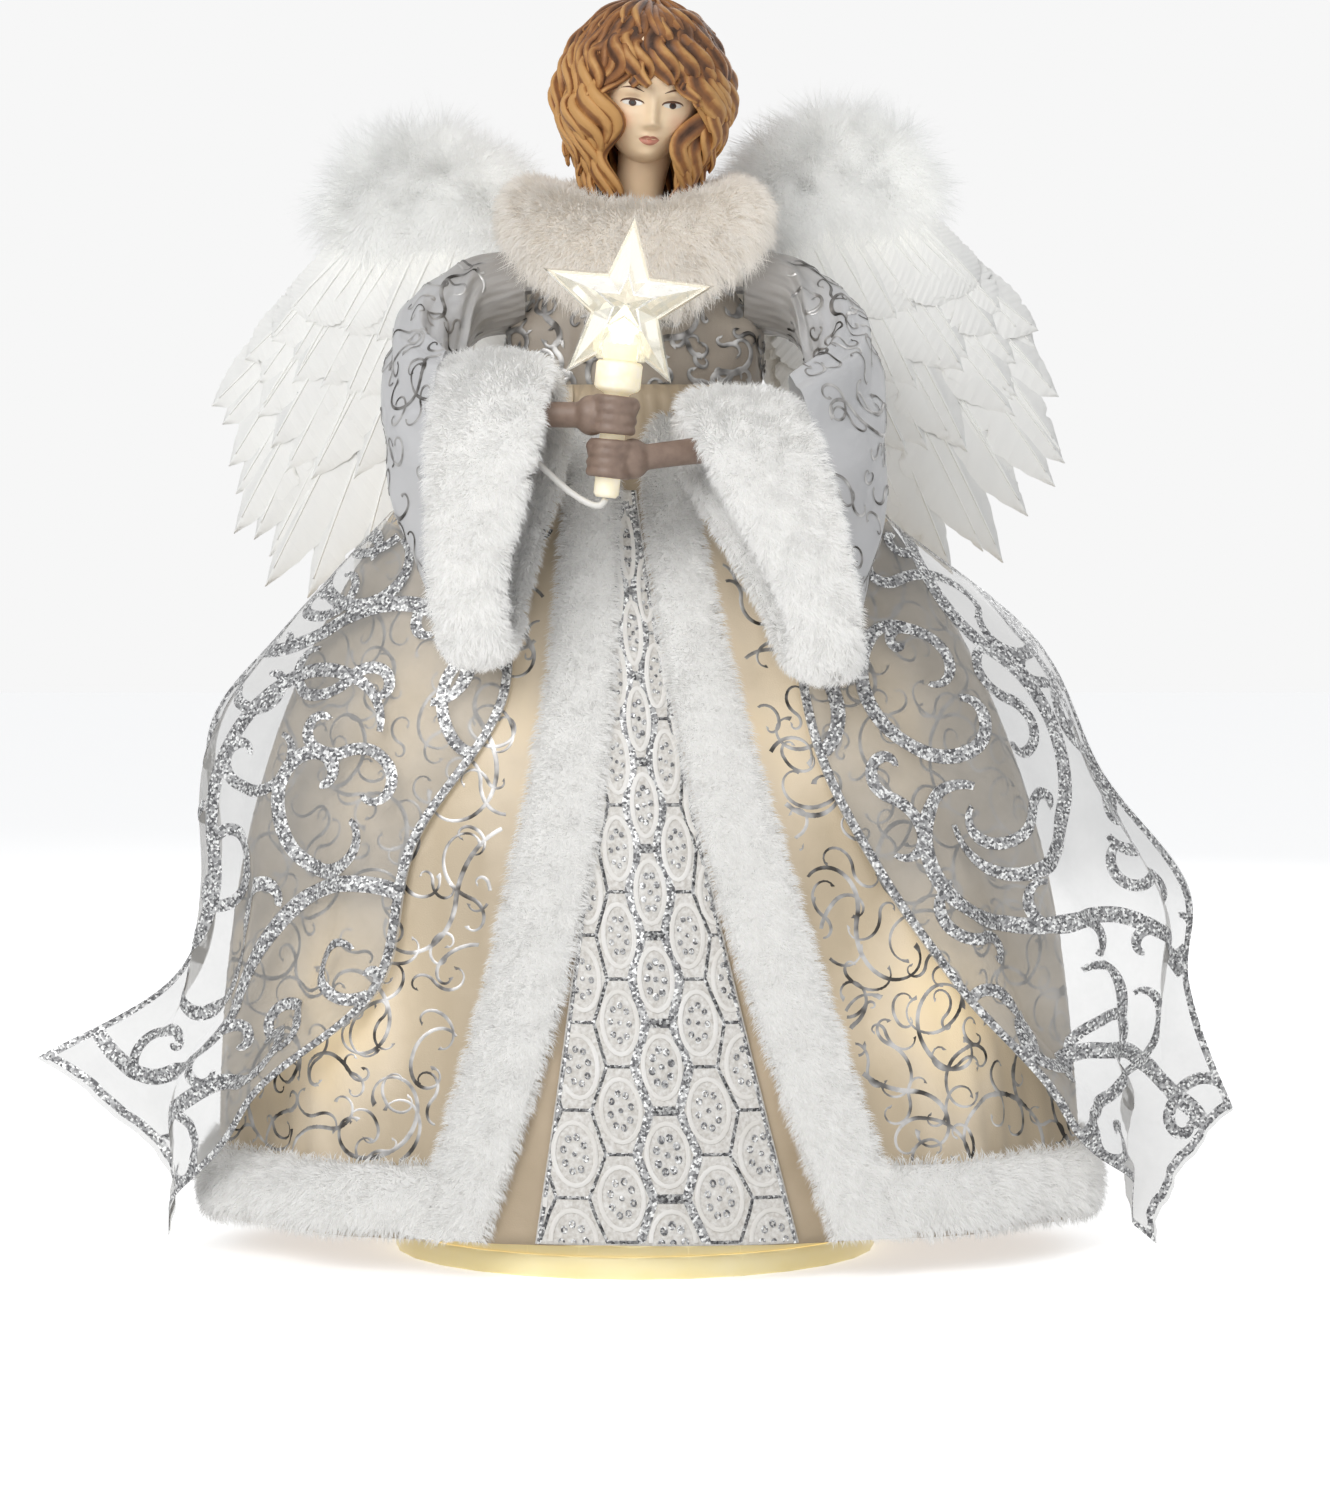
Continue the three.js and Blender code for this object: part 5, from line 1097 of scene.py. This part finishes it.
def make_skirts():
    u, v = share_grid(240, 60, closed=True)
    angle = TURN * u
    gather = 0.25 * np.sin(4 * FOLDS * angle) * v
    gather += 0.4 * np.sin(5 * FOLDS * angle) * (1 - smooth(v, 0.06, 0.3))
    under = skirt(angle, lerp(SKIRT_TOP, HEM_FOOT, v), gather - 0.4)
    # The underskirt's tone is a painted glow from the lamps in the cone.
    satin = Shape().grid(under, closed=True, tone=lamp_glow(under, 30)).piece(
        "underskirt_cloth", "underskirt", "figure", "satin", ["underskirt"], thick=0.4)

    u, v = share_grid(320, 80)
    over = robe(u, v)
    # A painted glow from the lamps in the cone, and painted shade in the fold valleys.
    valley_shade = 0.5 + 0.5 * np.cos(FOLDS * robe_angle(u, robe_height(v)))
    gown = Shape().grid(over, tone=lamp_glow(over, 26), barb=valley_shade * smooth(v, 0.05, 0.6)).piece(
        "robe_cloth", "robe", "figure", "robe_cloth", ["robe_skirt"], thick=0.3)
    foil = foil_scrolls(robe, *FOIL["robe"], seed=21).piece(
        "robe_foil", "silver foil", "figure", "silver_cloth")

    for side in SIDES:
        fur(f"fur_trim_{side}", trim(side), ["trim"], "white fur", "figure", lambda p, n, way: 0.9 * way,
            seed=31 + len(side), flip=True)
    fur("fur_hem", hem, ["hem"], "white fur", "figure", lambda p, n, way: np.array([0, 0, -1.0]),
        seed=41, lie=0.45)


def hexagon(column, z):
    """A flat-topped lace cell, its points as widths from the middle column and heights."""
    corners = np.array([(0.5, 1), (1, 0), (0.5, -1), (-0.5, -1), (-1, 0), (-0.5, 1), (0.5, 1)])
    t = np.linspace(0, 6, 61)
    x, rise = (np.interp(t, np.arange(7), corners[:, k]) for k in (0, 1))
    return np.stack([1.5 * column + x, z + LACE_PITCH / 2 * rise], -1)


def cell_half(z):
    """Lace cells are narrow at the top and wider at the hem."""
    half = LACE_CELL["start"] + LACE_CELL["spread"] * (LACE_TOP - z)
    return np.clip(half, LACE_CELL["least"], LACE_CELL["most"])


def lace_fit(line):
    x, z = line[..., 0], line[..., 1]
    middle = LACE_CELL["lean"] * (LACE_TOP - z) + LACE_CELL["shift"]
    return np.stack([middle + cell_half(z) * x, z], -1)


def loop(x, z, wide, tall):
    a = np.linspace(0, TURN, 21)
    return np.stack([x + wide * np.cos(a), z + tall * np.sin(a)], -1)


def on_lace(shape, lines, cord, inside=None):
    """Raised cords along lines of the lace."""
    width, lift = LACE_CORDS[cord]
    for line in lines:
        ahead = unit(np.gradient(line, axis=0))
        side = np.stack([-ahead[:, 1], ahead[:, 0]], -1)
        bands(shape, lace, line[None], side[None], width, lift, inside)


def make_lace():
    z = np.linspace(LACE_TOP, HEM_FOOT + 0.5, 150)[:, None]
    points = lace(np.linspace(-1, 1, 70)[None, :] * lace_half(z), z)
    panel = Shape().grid(points).piece("lace_cloth", "lace", "figure", "lace", ["lace_panel"], thick=0.3)

    lines = {cord: [] for cord in LACE_CORDS}
    for column in range(-4, 5):
        for row in range(10):
            z0 = LACE_TOP - 14 - LACE_PITCH * (row + 0.5 * (column % 2))
            x0, half = lace_fit(np.array([1.5 * column, z0]))[0], cell_half(z0)
            middle = "" if column else "middle "
            lines[middle + "cell"].append(lace_fit(hexagon(column, z0)))
            lines["ring"].append(loop(x0, z0, 0.68 * half, 0.36 * LACE_PITCH))
            dots = lines[middle + "dot"]
            dots.append(loop(x0, z0, 0.05 * half, 0.05 * half))
            for k in range(8):
                a = k * math.pi / 4 + 0.3 * row
                x, rise = 0.36 * half * math.cos(a), 0.2 * LACE_PITCH * math.sin(a)
                dots.append(loop(x0 + x, z0 + rise, 0.07 * half, 0.09 * half))
    lines["edge"] = [np.concatenate([s * (lace_half(z) - 0.8), z], -1) for s in (-1, 1)]

    def inside(x, z):
        return (np.abs(x) < 0.97 * lace_half(z)) & (z > HEM_FOOT + 1) & (z < LACE_TOP - 1)

    bright, pale = Shape(), Shape()
    for cord in LACE_CORDS:
        shape = pale if cord == "ring" else bright
        on_lace(shape, lines[cord], cord, None if cord == "edge" else inside)
    net = bright.piece("lace_glitter", "silver glitter", "figure", "lace")
    cord = pale.piece("lace_cording", "lace cord", "figure", "lace")


def make_capes():
    step = 1e-3
    t = np.linspace(0.004, 0.996, 140)
    near, far = PRINT_EDGE + 0 * t, 1 - PRINT_EDGE + 0 * t
    borders = ((0, near, t), (0, far, t), (1, t, far))

    def swell(t):
        return np.clip(np.minimum(0.5 + (1 + t) / 0.5, 0.45 + (1 - t) / 0.6), 0, 1)

    for side in SIDES:
        surface = cape(side)
        sheer = Shape().grid(surface(*share_grid(110, 130))).piece(
            f"cape_{side}_cloth", "sheer organza", "figure", "cape_cloth", [f"cape_{side}"])
        shape = scrolls(surface, CAPE_SCROLLS, (3.2, 5.0), swell, GLITTER_LIFT, seed=100 + len(side))
        for across, u, v in borders:
            path = np.stack([u, v], -1)
            ahead = step * np.eye(2)[across]
            reach = np.linalg.norm(surface(*(path + ahead).T) - surface(u, v), axis=-1, keepdims=True)
            inwards = ahead / np.maximum(reach, 1e-3)
            bands(shape, surface, path[None], inwards[None], CAPE_BORDER, GLITTER_LIFT)
        foil = shape.piece(f"cape_{side}_glitter", "silver glitter", "figure", "cape_cloth")


def make_bodice():
    tight = Shape().grid(bodice(*share_grid(120, 40, closed=True)), closed=True).piece(
        "bodice_cloth", "silver cloth", "figure", "silver_cloth", ["bodice"], thick=0.4)
    foil = foil_scrolls(lambda u, v, lift=0: bodice(u, v, lift + 0.4), *FOIL["bodice"], seed=5).piece(
        "bodice_foil", "silver foil", "figure", "silver_cloth")


def make_collar():
    def comb(p, n, way):
        return unit(p * np.array([1, 1, 0])) * 0.5 + np.array([0, 0, -0.9])

    # Its fur colour holds painted shade and painted warm light.
    fur("fur_collar", collar, ["collar"], "shaded warm fur", "figure", comb, seed=61, closed=True, around=True,
        longer=lambda p, n: 1 + 1.1 * smooth(-p[:, 1], -2, 14) * smooth(-n[:, 2], -0.2, 0.6))


def make_sleeves():
    u, v = share_grid(240, 90, closed=True)
    for side in SIDES:
        surface = sleeve(side)
        hung = Shape().grid(surface(u, v), closed=True, tone=smooth(v, 0.1, 0.75)).piece(
            f"sleeve_{side}_cloth", "sheer silver cloth", "arms", "silver_cloth", [f"sleeve_{side}"])

        def below_shoulder(u, v, lift=0):
            return surface(u, lerp(0.2, 1, v), lift)

        foil = foil_scrolls(below_shoulder, *FOIL["sleeve"], seed=70 + len(side)).piece(
            f"sleeve_{side}_foil", "silver foil", "arms", "silver_cloth")
        fur(f"fur_cuff_{side}", cuff(side), ["cuff"], "white fur", "arms",
            lambda p, n, way: np.array([0, -0.25, -0.9]), seed=80 + len(side), flip=side == "right",
            closed=True, around=True)


def jaw(z):
    """How much narrower the head is towards its chin."""
    return 1 + 0.3 * smooth(-z, 3, 19)


def face(x, z):
    """How far the face stands in front of the head's middle."""
    round_off = np.clip(1 - (np.abs(x) * jaw(z) / SKULL[0]) ** 2 - np.abs(z / SKULL[2]) ** 3, 0, 1)
    depth = SKULL[1] * np.sqrt(round_off)
    for x0, z0, wide, tall, rise in FACE_FORMS:
        depth = depth + rise * np.exp(-((np.abs(x) - x0) / wide) ** 2 - ((z - z0) / tall) ** 2)
    return depth


def on_face(x, z, lift):
    return on_head(xyz(x, -face(x, z) - lift, z))


def patch(x, z, lift):
    """A painted patch: rings of an outline in the face's own X and Z, laid on the face."""
    x, z = (np.stack([lerp(n.mean(), n, s) for s in (0.02, 0.35, 0.7, 1)]) for n in (x, z))
    return on_face(x, z, lift)


def make_head():
    u, v = share_grid(120, 160, around=True)
    a, b = np.pi * u, TURN * v
    z = SKULL[2] * np.where(np.cos(a) > 0, 0.93, 1) * np.cos(a)
    x = SKULL[0] * np.sin(a) * np.sin(b) / jaw(z)
    front = np.cos(b) > 0
    round_ahead = SKULL[1] * np.sin(a) * np.cos(b)
    ahead = np.where(front, lerp(round_ahead, face(x, z), smooth(np.cos(b), 0, 0.35)), 0.98 * round_ahead)

    def dab(x0, z0, wide, tall, across=x):
        return np.exp(-((across - x0) / wide) ** 2 - ((z - z0) / tall) ** 2) * front

    # The blush on the cheeks is the doll's paint; the darker dabs under the brows, beside the nose, under the
    # nose and under the lip are painted shade.
    blush_and_painted_shade = 0.42 + 0.24 * dab(6.6, -8.2, 2.6, 2.4, np.abs(x)) - 0.2 * dab(5, -2.2, 2.6, 0.8, np.abs(x))
    blush_and_painted_shade = blush_and_painted_shade - 0.16 * dab(1.6, -6.2, 0.9, 3.2) - 0.12 * dab(0, -10, 2, 0.5) - 0.1 * dab(0, -14.9, 2, 0.5)
    t = np.linspace(0, 1, 24)
    neck = xyz(3 * t * t, -3 * t * t, lerp(TORSO_TOP - 6, TORSO_TOP + 24, t))
    shape = Shape().grid(on_head(xyz(x, -ahead, z)), around=True, tone=blush_and_painted_shade)
    # The neck's lower tone is painted shade under the head.
    shape.tube(neck, NECK_RADIUS - 1.2 * np.sin(np.pi * t), 40, up=(0, 1, 0), tone=0.28)
    shape.piece("head_skin", "painted skin", "figure", "skin", ["head"])
    make_features()


def make_features():
    """Eyes, brows and lips, painted on the face."""
    arc, ring = np.linspace(0, np.pi, 13), TURN * np.arange(20) / 20
    white, iris, pupil, line = Shape(), Shape(), Shape(), Shape()
    for s in (-1, 1):
        x0, z0, half = s * EYE["x"], EYE["z"], EYE["half"]
        lids_x = np.concatenate([-half * np.cos(arc), half * np.cos(arc)[1:-1]])
        lids_z = np.concatenate([EYE["upper"] * np.sin(arc), -EYE["lower"] * np.sin(arc)[1:-1]])
        white.grid(patch(x0 + lids_x, z0 + lids_z, 0.05), around=True)
        for eye, size, lift in ((iris, EYE["iris"], 0.1), (pupil, EYE["pupil"], 0.14)):
            x, z = x0 + size * np.cos(ring), z0 + 0.05 + 0.85 * size * np.sin(ring)
            eye.grid(patch(x, z, lift), around=True)
        brow_x = np.linspace(BROW["start"], BROW["end"], 16)
        bow = np.sin(2.6 * (brow_x - BROW["start"]) / (BROW["end"] - BROW["start"]))
        for x, z, wide in (
            (x0 - (half + 0.35) * np.cos(arc), z0 + (EYE["upper"] + 0.1) * np.sin(arc), 0.3),
            (s * brow_x, BROW["z"] + BROW["rise"] * bow, 0.22),
        ):
            thin = wide * np.sin(np.linspace(0.25, np.pi - 0.15, len(x)))
            line.tube(on_face(x, z, 0.08), thin, 6, up=(0, 1, 0.2))
    m = np.linspace(-1, 1, 25)
    upper = (1 - m ** 2) * (0.75 + 1.4 * np.abs(m) * (1 - np.abs(m)))
    lower = 0.1 + 1.35 * (1 - m ** 2) ** 0.8
    lips_x = np.concatenate([2.6 * m, -2.5 * m[1:-1]])
    lips = Shape().grid(patch(lips_x, MOUTH_Z + np.concatenate([upper, -lower[1:-1]]), 0.06), around=True)
    for shape, name, look in (
        (white, "eye_whites", "eye white"), (iris, "irises", "iris"), (pupil, "pupils", "pupil"),
        (line, "brows_and_lashes", "brow"), (lips, "lips", "lips"),
    ):
        shape.piece(name, look, "figure", "skin")


def hair_point(turn, z, grow):
    """A point of the hair's outside: angle from the front, height, and how far out."""
    share = np.linspace(0, 1, 200)
    below = -along(HAIR_HEIGHT, share)
    wide, deep = (np.interp(-z, below, along(size, share)) for size in (HAIR_HALF_WIDTH, HAIR_HALF_DEPTH))
    return xyz(grow * wide * np.sin(turn), 2 - grow * deep * np.cos(turn), z)


def hair_lock(shape, turns, heights, grow, size, waves, rng, curl=1.0):
    """One wavy lock with grooves, from a turn and height at its root to those at its end."""
    t = np.linspace(0, 1, LOCK_STEPS)
    phase = TURN * waves * t ** 1.15 + rng.uniform(0, 6.28)
    wave, sway = np.sin(phase) * smooth(t, 0.12, 0.5), np.cos(phase) * smooth(t, 0.15, 0.5)
    turn = np.radians(lerp(*turns, t ** 1.2) + 8 * curl * wave)
    z = lerp(*heights, 0.35 * t + 0.65 * t ** 1.5)
    local = hair_point(turn, z, grow * (1 + 0.06 * curl * sway + 0.08 * smooth(t, 0.88, 1)))
    girth = size * np.sin(np.pi * np.clip(0.1 + 0.85 * t, 0, 1)) ** 0.55
    # The crown's brown, the copper lower down and the random share are the hair's paint; the lighter wave
    # crests are painted highlight.
    tone = 0.16 + 0.38 * smooth(-z, -13, 8) + 0.2 * sway + rng.uniform(-0.1, 0.14)
    # Painted shade in each lock's grooves, and painted highlight on its ridges.
    groove_shade = 0.34 * np.cos(3 * TURN * np.arange(LOCK_SIDES) / LOCK_SIDES)
    out = on_head(local * np.array([1.3, 1.3, 1])) - on_head(local)
    shape.tube(on_head(local), girth, LOCK_SIDES, up=unit(out), flat=0.66, ridge=0.22,
               tone=np.clip(tone[:, None] + groove_shade, 0, 1))


def make_hair():
    rng, crown = np.random.default_rng(90), np.random.default_rng(91)
    shape = Shape()
    u, v = share_grid(90, 40)
    # The cap under the locks keeps the lowest tone: painted shade between the locks.
    for turns, foot in (((44, 316), -30), ((-50, 50), 4)):
        shape.grid(on_head(hair_point(np.radians(lerp(*turns, u)), lerp(19.9, foot, v), 0.9)))
    for layer, (grow, size) in enumerate(HAIR_LAYERS):
        for turn in np.arange(50 + 3 * layer, 310, 8.5 + 3.5 * layer):
            end = lerp(-26, -30, abs(180 - turn) / 130) + rng.uniform(-1, 3) + 3.5 * layer
            turns = turn, turn + rng.uniform(-8, 8)
            hair_lock(shape, turns, (rng.uniform(16.6, 19.2), end), grow, size, rng.uniform(2.0, 2.9), rng)
    for s in (-1, 1):
        for n in range(9):
            share = n / 8
            turns = s * lerp(1, 46, share), s * lerp(-3, 62, share)
            heights = lerp(19.2, 15.5, share), lerp(2, -9, share ** 1.5) + rng.uniform(-1, 1)
            hair_lock(shape, turns, heights, 1.0 + 0.05 * (n % 2), 2.6, rng.uniform(1.1, 1.7), rng)
        for root, end, foot in ((40, 33, -27), (47, 40, -30), (54, 50, -28)):
            heights = 13, foot + rng.uniform(-1, 1)
            hair_lock(shape, (s * root, s * end), heights, 1.02, 2.7, 2.4, rng, 1.3)
    for turn in range(0, 360, 20):
        hair_lock(shape, (turn, turn + 22), (19.97, crown.uniform(11, 15)), 1.06, 2.1, 0.6, crown, 0.3)
    shape.piece("hair_locks", "painted hair", "figure", "hair", ["hair"])


def fused(shape, voxel, rounds):
    """Melts a shape's overlapping bodies into one smooth skin."""
    source = placed("source", shape.mesh("source"))
    melt = source.modifiers.new("melt", "REMESH")
    melt.mode = "VOXEL"
    melt.voxel_size = voxel * MM
    soft = source.modifiers.new("soft", "SMOOTH")
    soft.factor = 0.5
    soft.iterations = rounds
    made = source.evaluated_get(bpy.context.evaluated_depsgraph_get()).to_mesh()
    points = np.array([v.co for v in made.vertices]) / MM
    quads, tris = ([tuple(p.vertices) for p in made.polygons if len(p.vertices) == n] for n in (4, 3))
    bpy.data.objects.remove(source)
    return Shape().add(points, quads, tris)


def blob(shape, centre, half):
    u, v = share_grid(16, 24, around=True)
    a, b = lerp(0.05, np.pi - 0.05, u), TURN * v
    ball = xyz(np.sin(a) * np.cos(b), np.sin(a) * np.sin(b), np.cos(a))
    shape.grid(centre + np.array(half) * ball, around=True, ends=True)


def make_hands():
    wrap = CANDLE_RADIUS + 1.5
    t = np.linspace(0, 1, 20)
    for side in SIDES:
        sign = -1 if side == "left" else 1
        fist = candle(np.array([0, 0, FIST_RISE[side]]))
        palm = fist + np.array([sign * (CANDLE_RADIUS + 2.4), 0.8, 0])
        mouth = sleeve_at(side, 1)
        elbow = mouth["middle"] + mouth["up"] * (mouth["tall"] - CUFF_FUR - 9.6) + 4 * mouth["ahead"]

        def curled(start, end, steps, reach, z):
            a = np.radians(np.linspace(start, end, steps))
            return turned_by(xyz(-sign * reach * np.cos(a), wrap * np.sin(a), z), "y", CANDLE_TILT) + fist

        shape = Shape().tube(lerp(elbow, palm, t[:, None]), lerp(*ARM_RADIUS, smooth(t, 0, 0.8)), 20)
        blob(shape, palm, PALM_HALF)
        for n in (-1.5, -0.5, 0.5, 1.5):
            finger = curled(190, 375 - 12 * abs(n), 16, wrap, FINGER_PITCH * n)
            shape.tube(finger, np.linspace(*FINGER_RADIUS, 16), 10)
        shape.tube(curled(100, -30, 12, wrap + 0.2, 2.6), THUMB_RADIUS, 10)
        fused(shape, 0.4, 7).piece(f"forearm_{side}_skin", "hand", "arms", "skin", [f"forearm_{side}"])


def make_candle():
    foot, rim = CUP["foot"], CUP["foot"] + CUP["height"]
    r, cup, nozzle, tip = CANDLE_RADIUS, CUP["radius"], CUP["nozzle"], rim + CUP["nozzle_height"]
    body = Shape().turned([
        (0.01, -CANDLE_TAIL), (r - 0.7, -CANDLE_TAIL), (r, -CANDLE_TAIL + 0.8), (r, foot - 1.2),
        (r + 0.6, foot - 0.8), (cup - 0.5, foot - 0.2), (cup, foot + 0.5), (cup, rim - 0.6),
        (cup - 0.5, rim), (nozzle, rim), (nozzle, tip), (0.01, tip),
    ], 56, candle)
    body.piece("candle_body", "lit cup", "arms", "white_plastic", ["candle_socket"])

    centre = rim + STAR_RISE
    corner = np.arange(10)
    a = np.pi / 2 + corner * np.pi / 5
    reach = np.where(corner % 2, STAR_NOTCH, STAR_RADIUS)
    rows = [(-d, s) for d, s in reversed(STAR_RINGS)] + STAR_RINGS[1:]
    points = np.stack([xyz(s * reach * np.cos(a), d, centre + s * reach * np.sin(a)) for d, s in rows])
    neck, top = nozzle + GAP, centre - 7
    star = Shape().grid(candle(points), around=True, ends=True)
    star.turned([(neck, rim + GAP), (neck + 1.5, rim + GAP), (neck + 1.5, top), (neck, top)], 40, candle)
    star.piece("star_clear", "clear star", "star", "star_plastic", ["star_cover"], crisp=True)


def left_arm_line():
    """Where the lead follows the left arm, from the shoulder down the sleeve."""
    points = [np.array([-n * SLEEVE_ROOT, 0, ARMS_Z - LEAD_BELOW_ARM]) for n in (0.75, 1)]
    for v in (0.3, 0.5, 0.68):
        s = sleeve_at("left", v)
        x, y, z = s["middle"]
        z = max(ARMS_Z - 22 * v - 10 * v * v, z - 0.4 * s["tall"][0])
        points.append(np.array([x, y, min(z, ARMS_Z) - LEAD_BELOW_ARM]))
    return points


def make_lead():
    tail = candle(np.array([0, 0, -CANDLE_TAIL - GAP]))
    mouth = sleeve_at("left", 1)
    out = mouth["middle"] + mouth["ahead"] * CUFF_WIDTH + mouth["up"] * 0.3 * mouth["tall"]
    inside = mouth["middle"] + mouth["up"] * 0.36 * mouth["tall"]
    points = [tail, tail + np.array([-0.6, 0, -3]), lerp(tail, out, 0.45) + np.array([0, 0, -3]), out, inside]
    points = np.array(points + left_arm_line()[::-1])
    line = np.stack([along(column, np.linspace(0, 1, 160)) for column in points.T], -1)
    walked = np.concatenate([[0], np.cumsum(np.linalg.norm(np.diff(line, axis=0), axis=1))])
    even = np.linspace(0, walked[-1], len(line))
    line = np.stack([np.interp(even, walked, column) for column in line.T], -1)
    for _ in range(LEAD_EASE):
        line[1:-1] = (line[:-2] + 2 * line[1:-1] + line[2:]) / 4
    lead = Shape().tube(line, LEAD_RADIUS, 12, up=(0.1, 0.3, 1)).piece(
        "star_lead_cord", "white plastic", "arms", "white_plastic", ["star_lead"])


def feather(shape, side, root, slant, length, width, forward, rng):
    """One feather in the wing's own plane, with a shaft, vanes that split here and there, and a soft bend."""
    steps, across, spine = 60, 13, 57
    t = np.linspace(0, 1, steps)[:, None]
    s = np.linspace(-1, 1, across)[None, :]
    broad = np.clip((t / 0.16) ** 0.7, 0.16, 1) * np.clip(1 - ((t - 0.62) / 0.38).clip(0) ** 1.8, 0.01, 1)
    half = width * broad * np.where(s > 0, 0.32, 0.62)
    split = np.ones((steps, 2))
    for _ in range(rng.integers(3, 7)):
        at, deep = rng.uniform(0.25, 0.97), rng.uniform(0.12, 0.42)
        split[:, rng.integers(0, 2)] *= 1 - deep * np.exp(-((t[:, 0] - at) / 0.009) ** 2)
    ragged = np.where(s < 0, split[:, :1], split[:, 1:]) ** (np.abs(s) ** 2)
    ragged = ragged * (1 + 0.035 * np.sin(90 * t + rng.uniform(0, 6)) * np.abs(s))
    x = s * half * ragged + 0.05 * length * rng.uniform(-1, 1) * t ** 2
    z = -(t * length * 0.93 + np.abs(s) * half * 0.75 * (1 - 0.4 * t))
    roll = rng.uniform(0.05, 0.13)
    y = roll * x + 0.06 * width * s ** 2 - 2.2 * np.sin(np.pi * t * 0.9) * t - forward
    # Painted shade: the narrow vane is drawn darker than the broad one; the rest of the tone varies across,
    # along and at random.
    tone = np.where(s > 0.1, 0.34, 0.7) + 0.2 * np.abs(s) - 0.1 * t + rng.uniform(-0.1, 0.1)
    barb = 0.5 + 0.5 * np.sin(260 * t) * (0.4 + 0.6 * np.abs(s))

    def place(p):
        return on_wing(side, turned_by(p, "y", math.radians(slant)) + np.array([root[0], 0, root[1]]))

    shape.grid(place(xyz(x, y, z)), tone=np.clip(tone, 0, 1), barb=barb)
    middle = across // 2
    shaft = xyz(x[:, middle], y[:, middle] - 0.12, z[:, middle])[:spine]
    shape.tube(place(shaft), np.linspace(0.55, 0.2, spine), 6, up=(0.1, 1, 0), tone=1.0)


def down(side):
    """The backing of a wing's down: share along the arch, share round it."""
    def at(u, v):
        x, z = np.moveaxis(arch(lerp(0.12, 1.0, u)), -1, 0)
        a = TURN * v
        near = np.clip(np.minimum(u, 1 - u) / 0.12, 0, 1)
        girth = np.sin(np.pi * lerp(0.16, 0.86, u)) ** 0.5 * np.sqrt(1 - 0.98 * (1 - near) ** 2)
        rise = DOWN_RADIUS * girth * np.sin(a)
        return on_wing(side, xyz(x + 0.4 * rise, -2.4 - DOWN_DEPTH * np.cos(a) * girth, z + 3 + rise))
    return at


def make_wings():
    for side in SIDES:
        rng = np.random.default_rng(110 + len(side))
        body = f"wing_{side}"
        shapes = {"long": Shape(), "short": Shape()}
        for row, count, lengths, bow, width, below, forward in FEATHER_ROWS:
            for n in range(count):
                share = n / (count - 1)
                root = arch(lerp(0.97, 0.25, share)) - np.array([0, below])
                slant = lerp(*FEATHER_FAN, share) - 90 + rng.uniform(-2.5, 2.5)
                length = lerp(*lengths, math.sin(bow * math.pi * share)) * rng.uniform(0.93, 1.03)
                feather(shapes[row], side, root, slant, length, width, forward + 0.09 * n, rng)
        for row, shape in shapes.items():
            node = f"{row}_feathers_{side}"
            shape.piece(f"{node}_vanes", "feather", body, "feather", [node])
        fur(f"wing_down_{side}", down(side), ["down", "long down"], "wing down", body,
            lambda p, n, way: 0.5 * n + np.array([0, 0, -0.35]), seed=120 + len(side), slot="feather",
            lie=0.45, flip=side == "left", around=True)


def dress_solids():
    """Gives the solids that stay in sight, or can be seen from below and behind, their finish."""
    finish = {
        "lit ring": ["foot_ring"],
        "former": ["cone_former", "torso_form", "wing_card_left", "wing_card_right"],
        "white plastic": ["body_lead", "wing_bracket", "switch_slider"],
        "box plastic": ["battery_box", "battery_cover"],
        "dark wire": ["lamp_string"],
        "steel": ["arm_wire", "wing_wire_left", "wing_wire_right", "contact_strip", "contact_spring",
                  "box_screw"],
        "lamp": ["star_lamp", "cone_lamp"],
        "cell": ["cell"],
    }
    looks = {name: look for look, names in finish.items() for name in names}
    for name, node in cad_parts.items():
        look = looks.get(name.rstrip("_0123456789"))
        if look:
            node.data.materials.clear()
            node.data.materials.append(LOOKS[look])


make_stage()
make_lead()
make_foot()
make_skirts()
make_lace()
make_capes()
make_bodice()
make_collar()
make_sleeves()
make_head()
make_hair()
make_hands()
make_candle()
make_wings()
dress_solids()
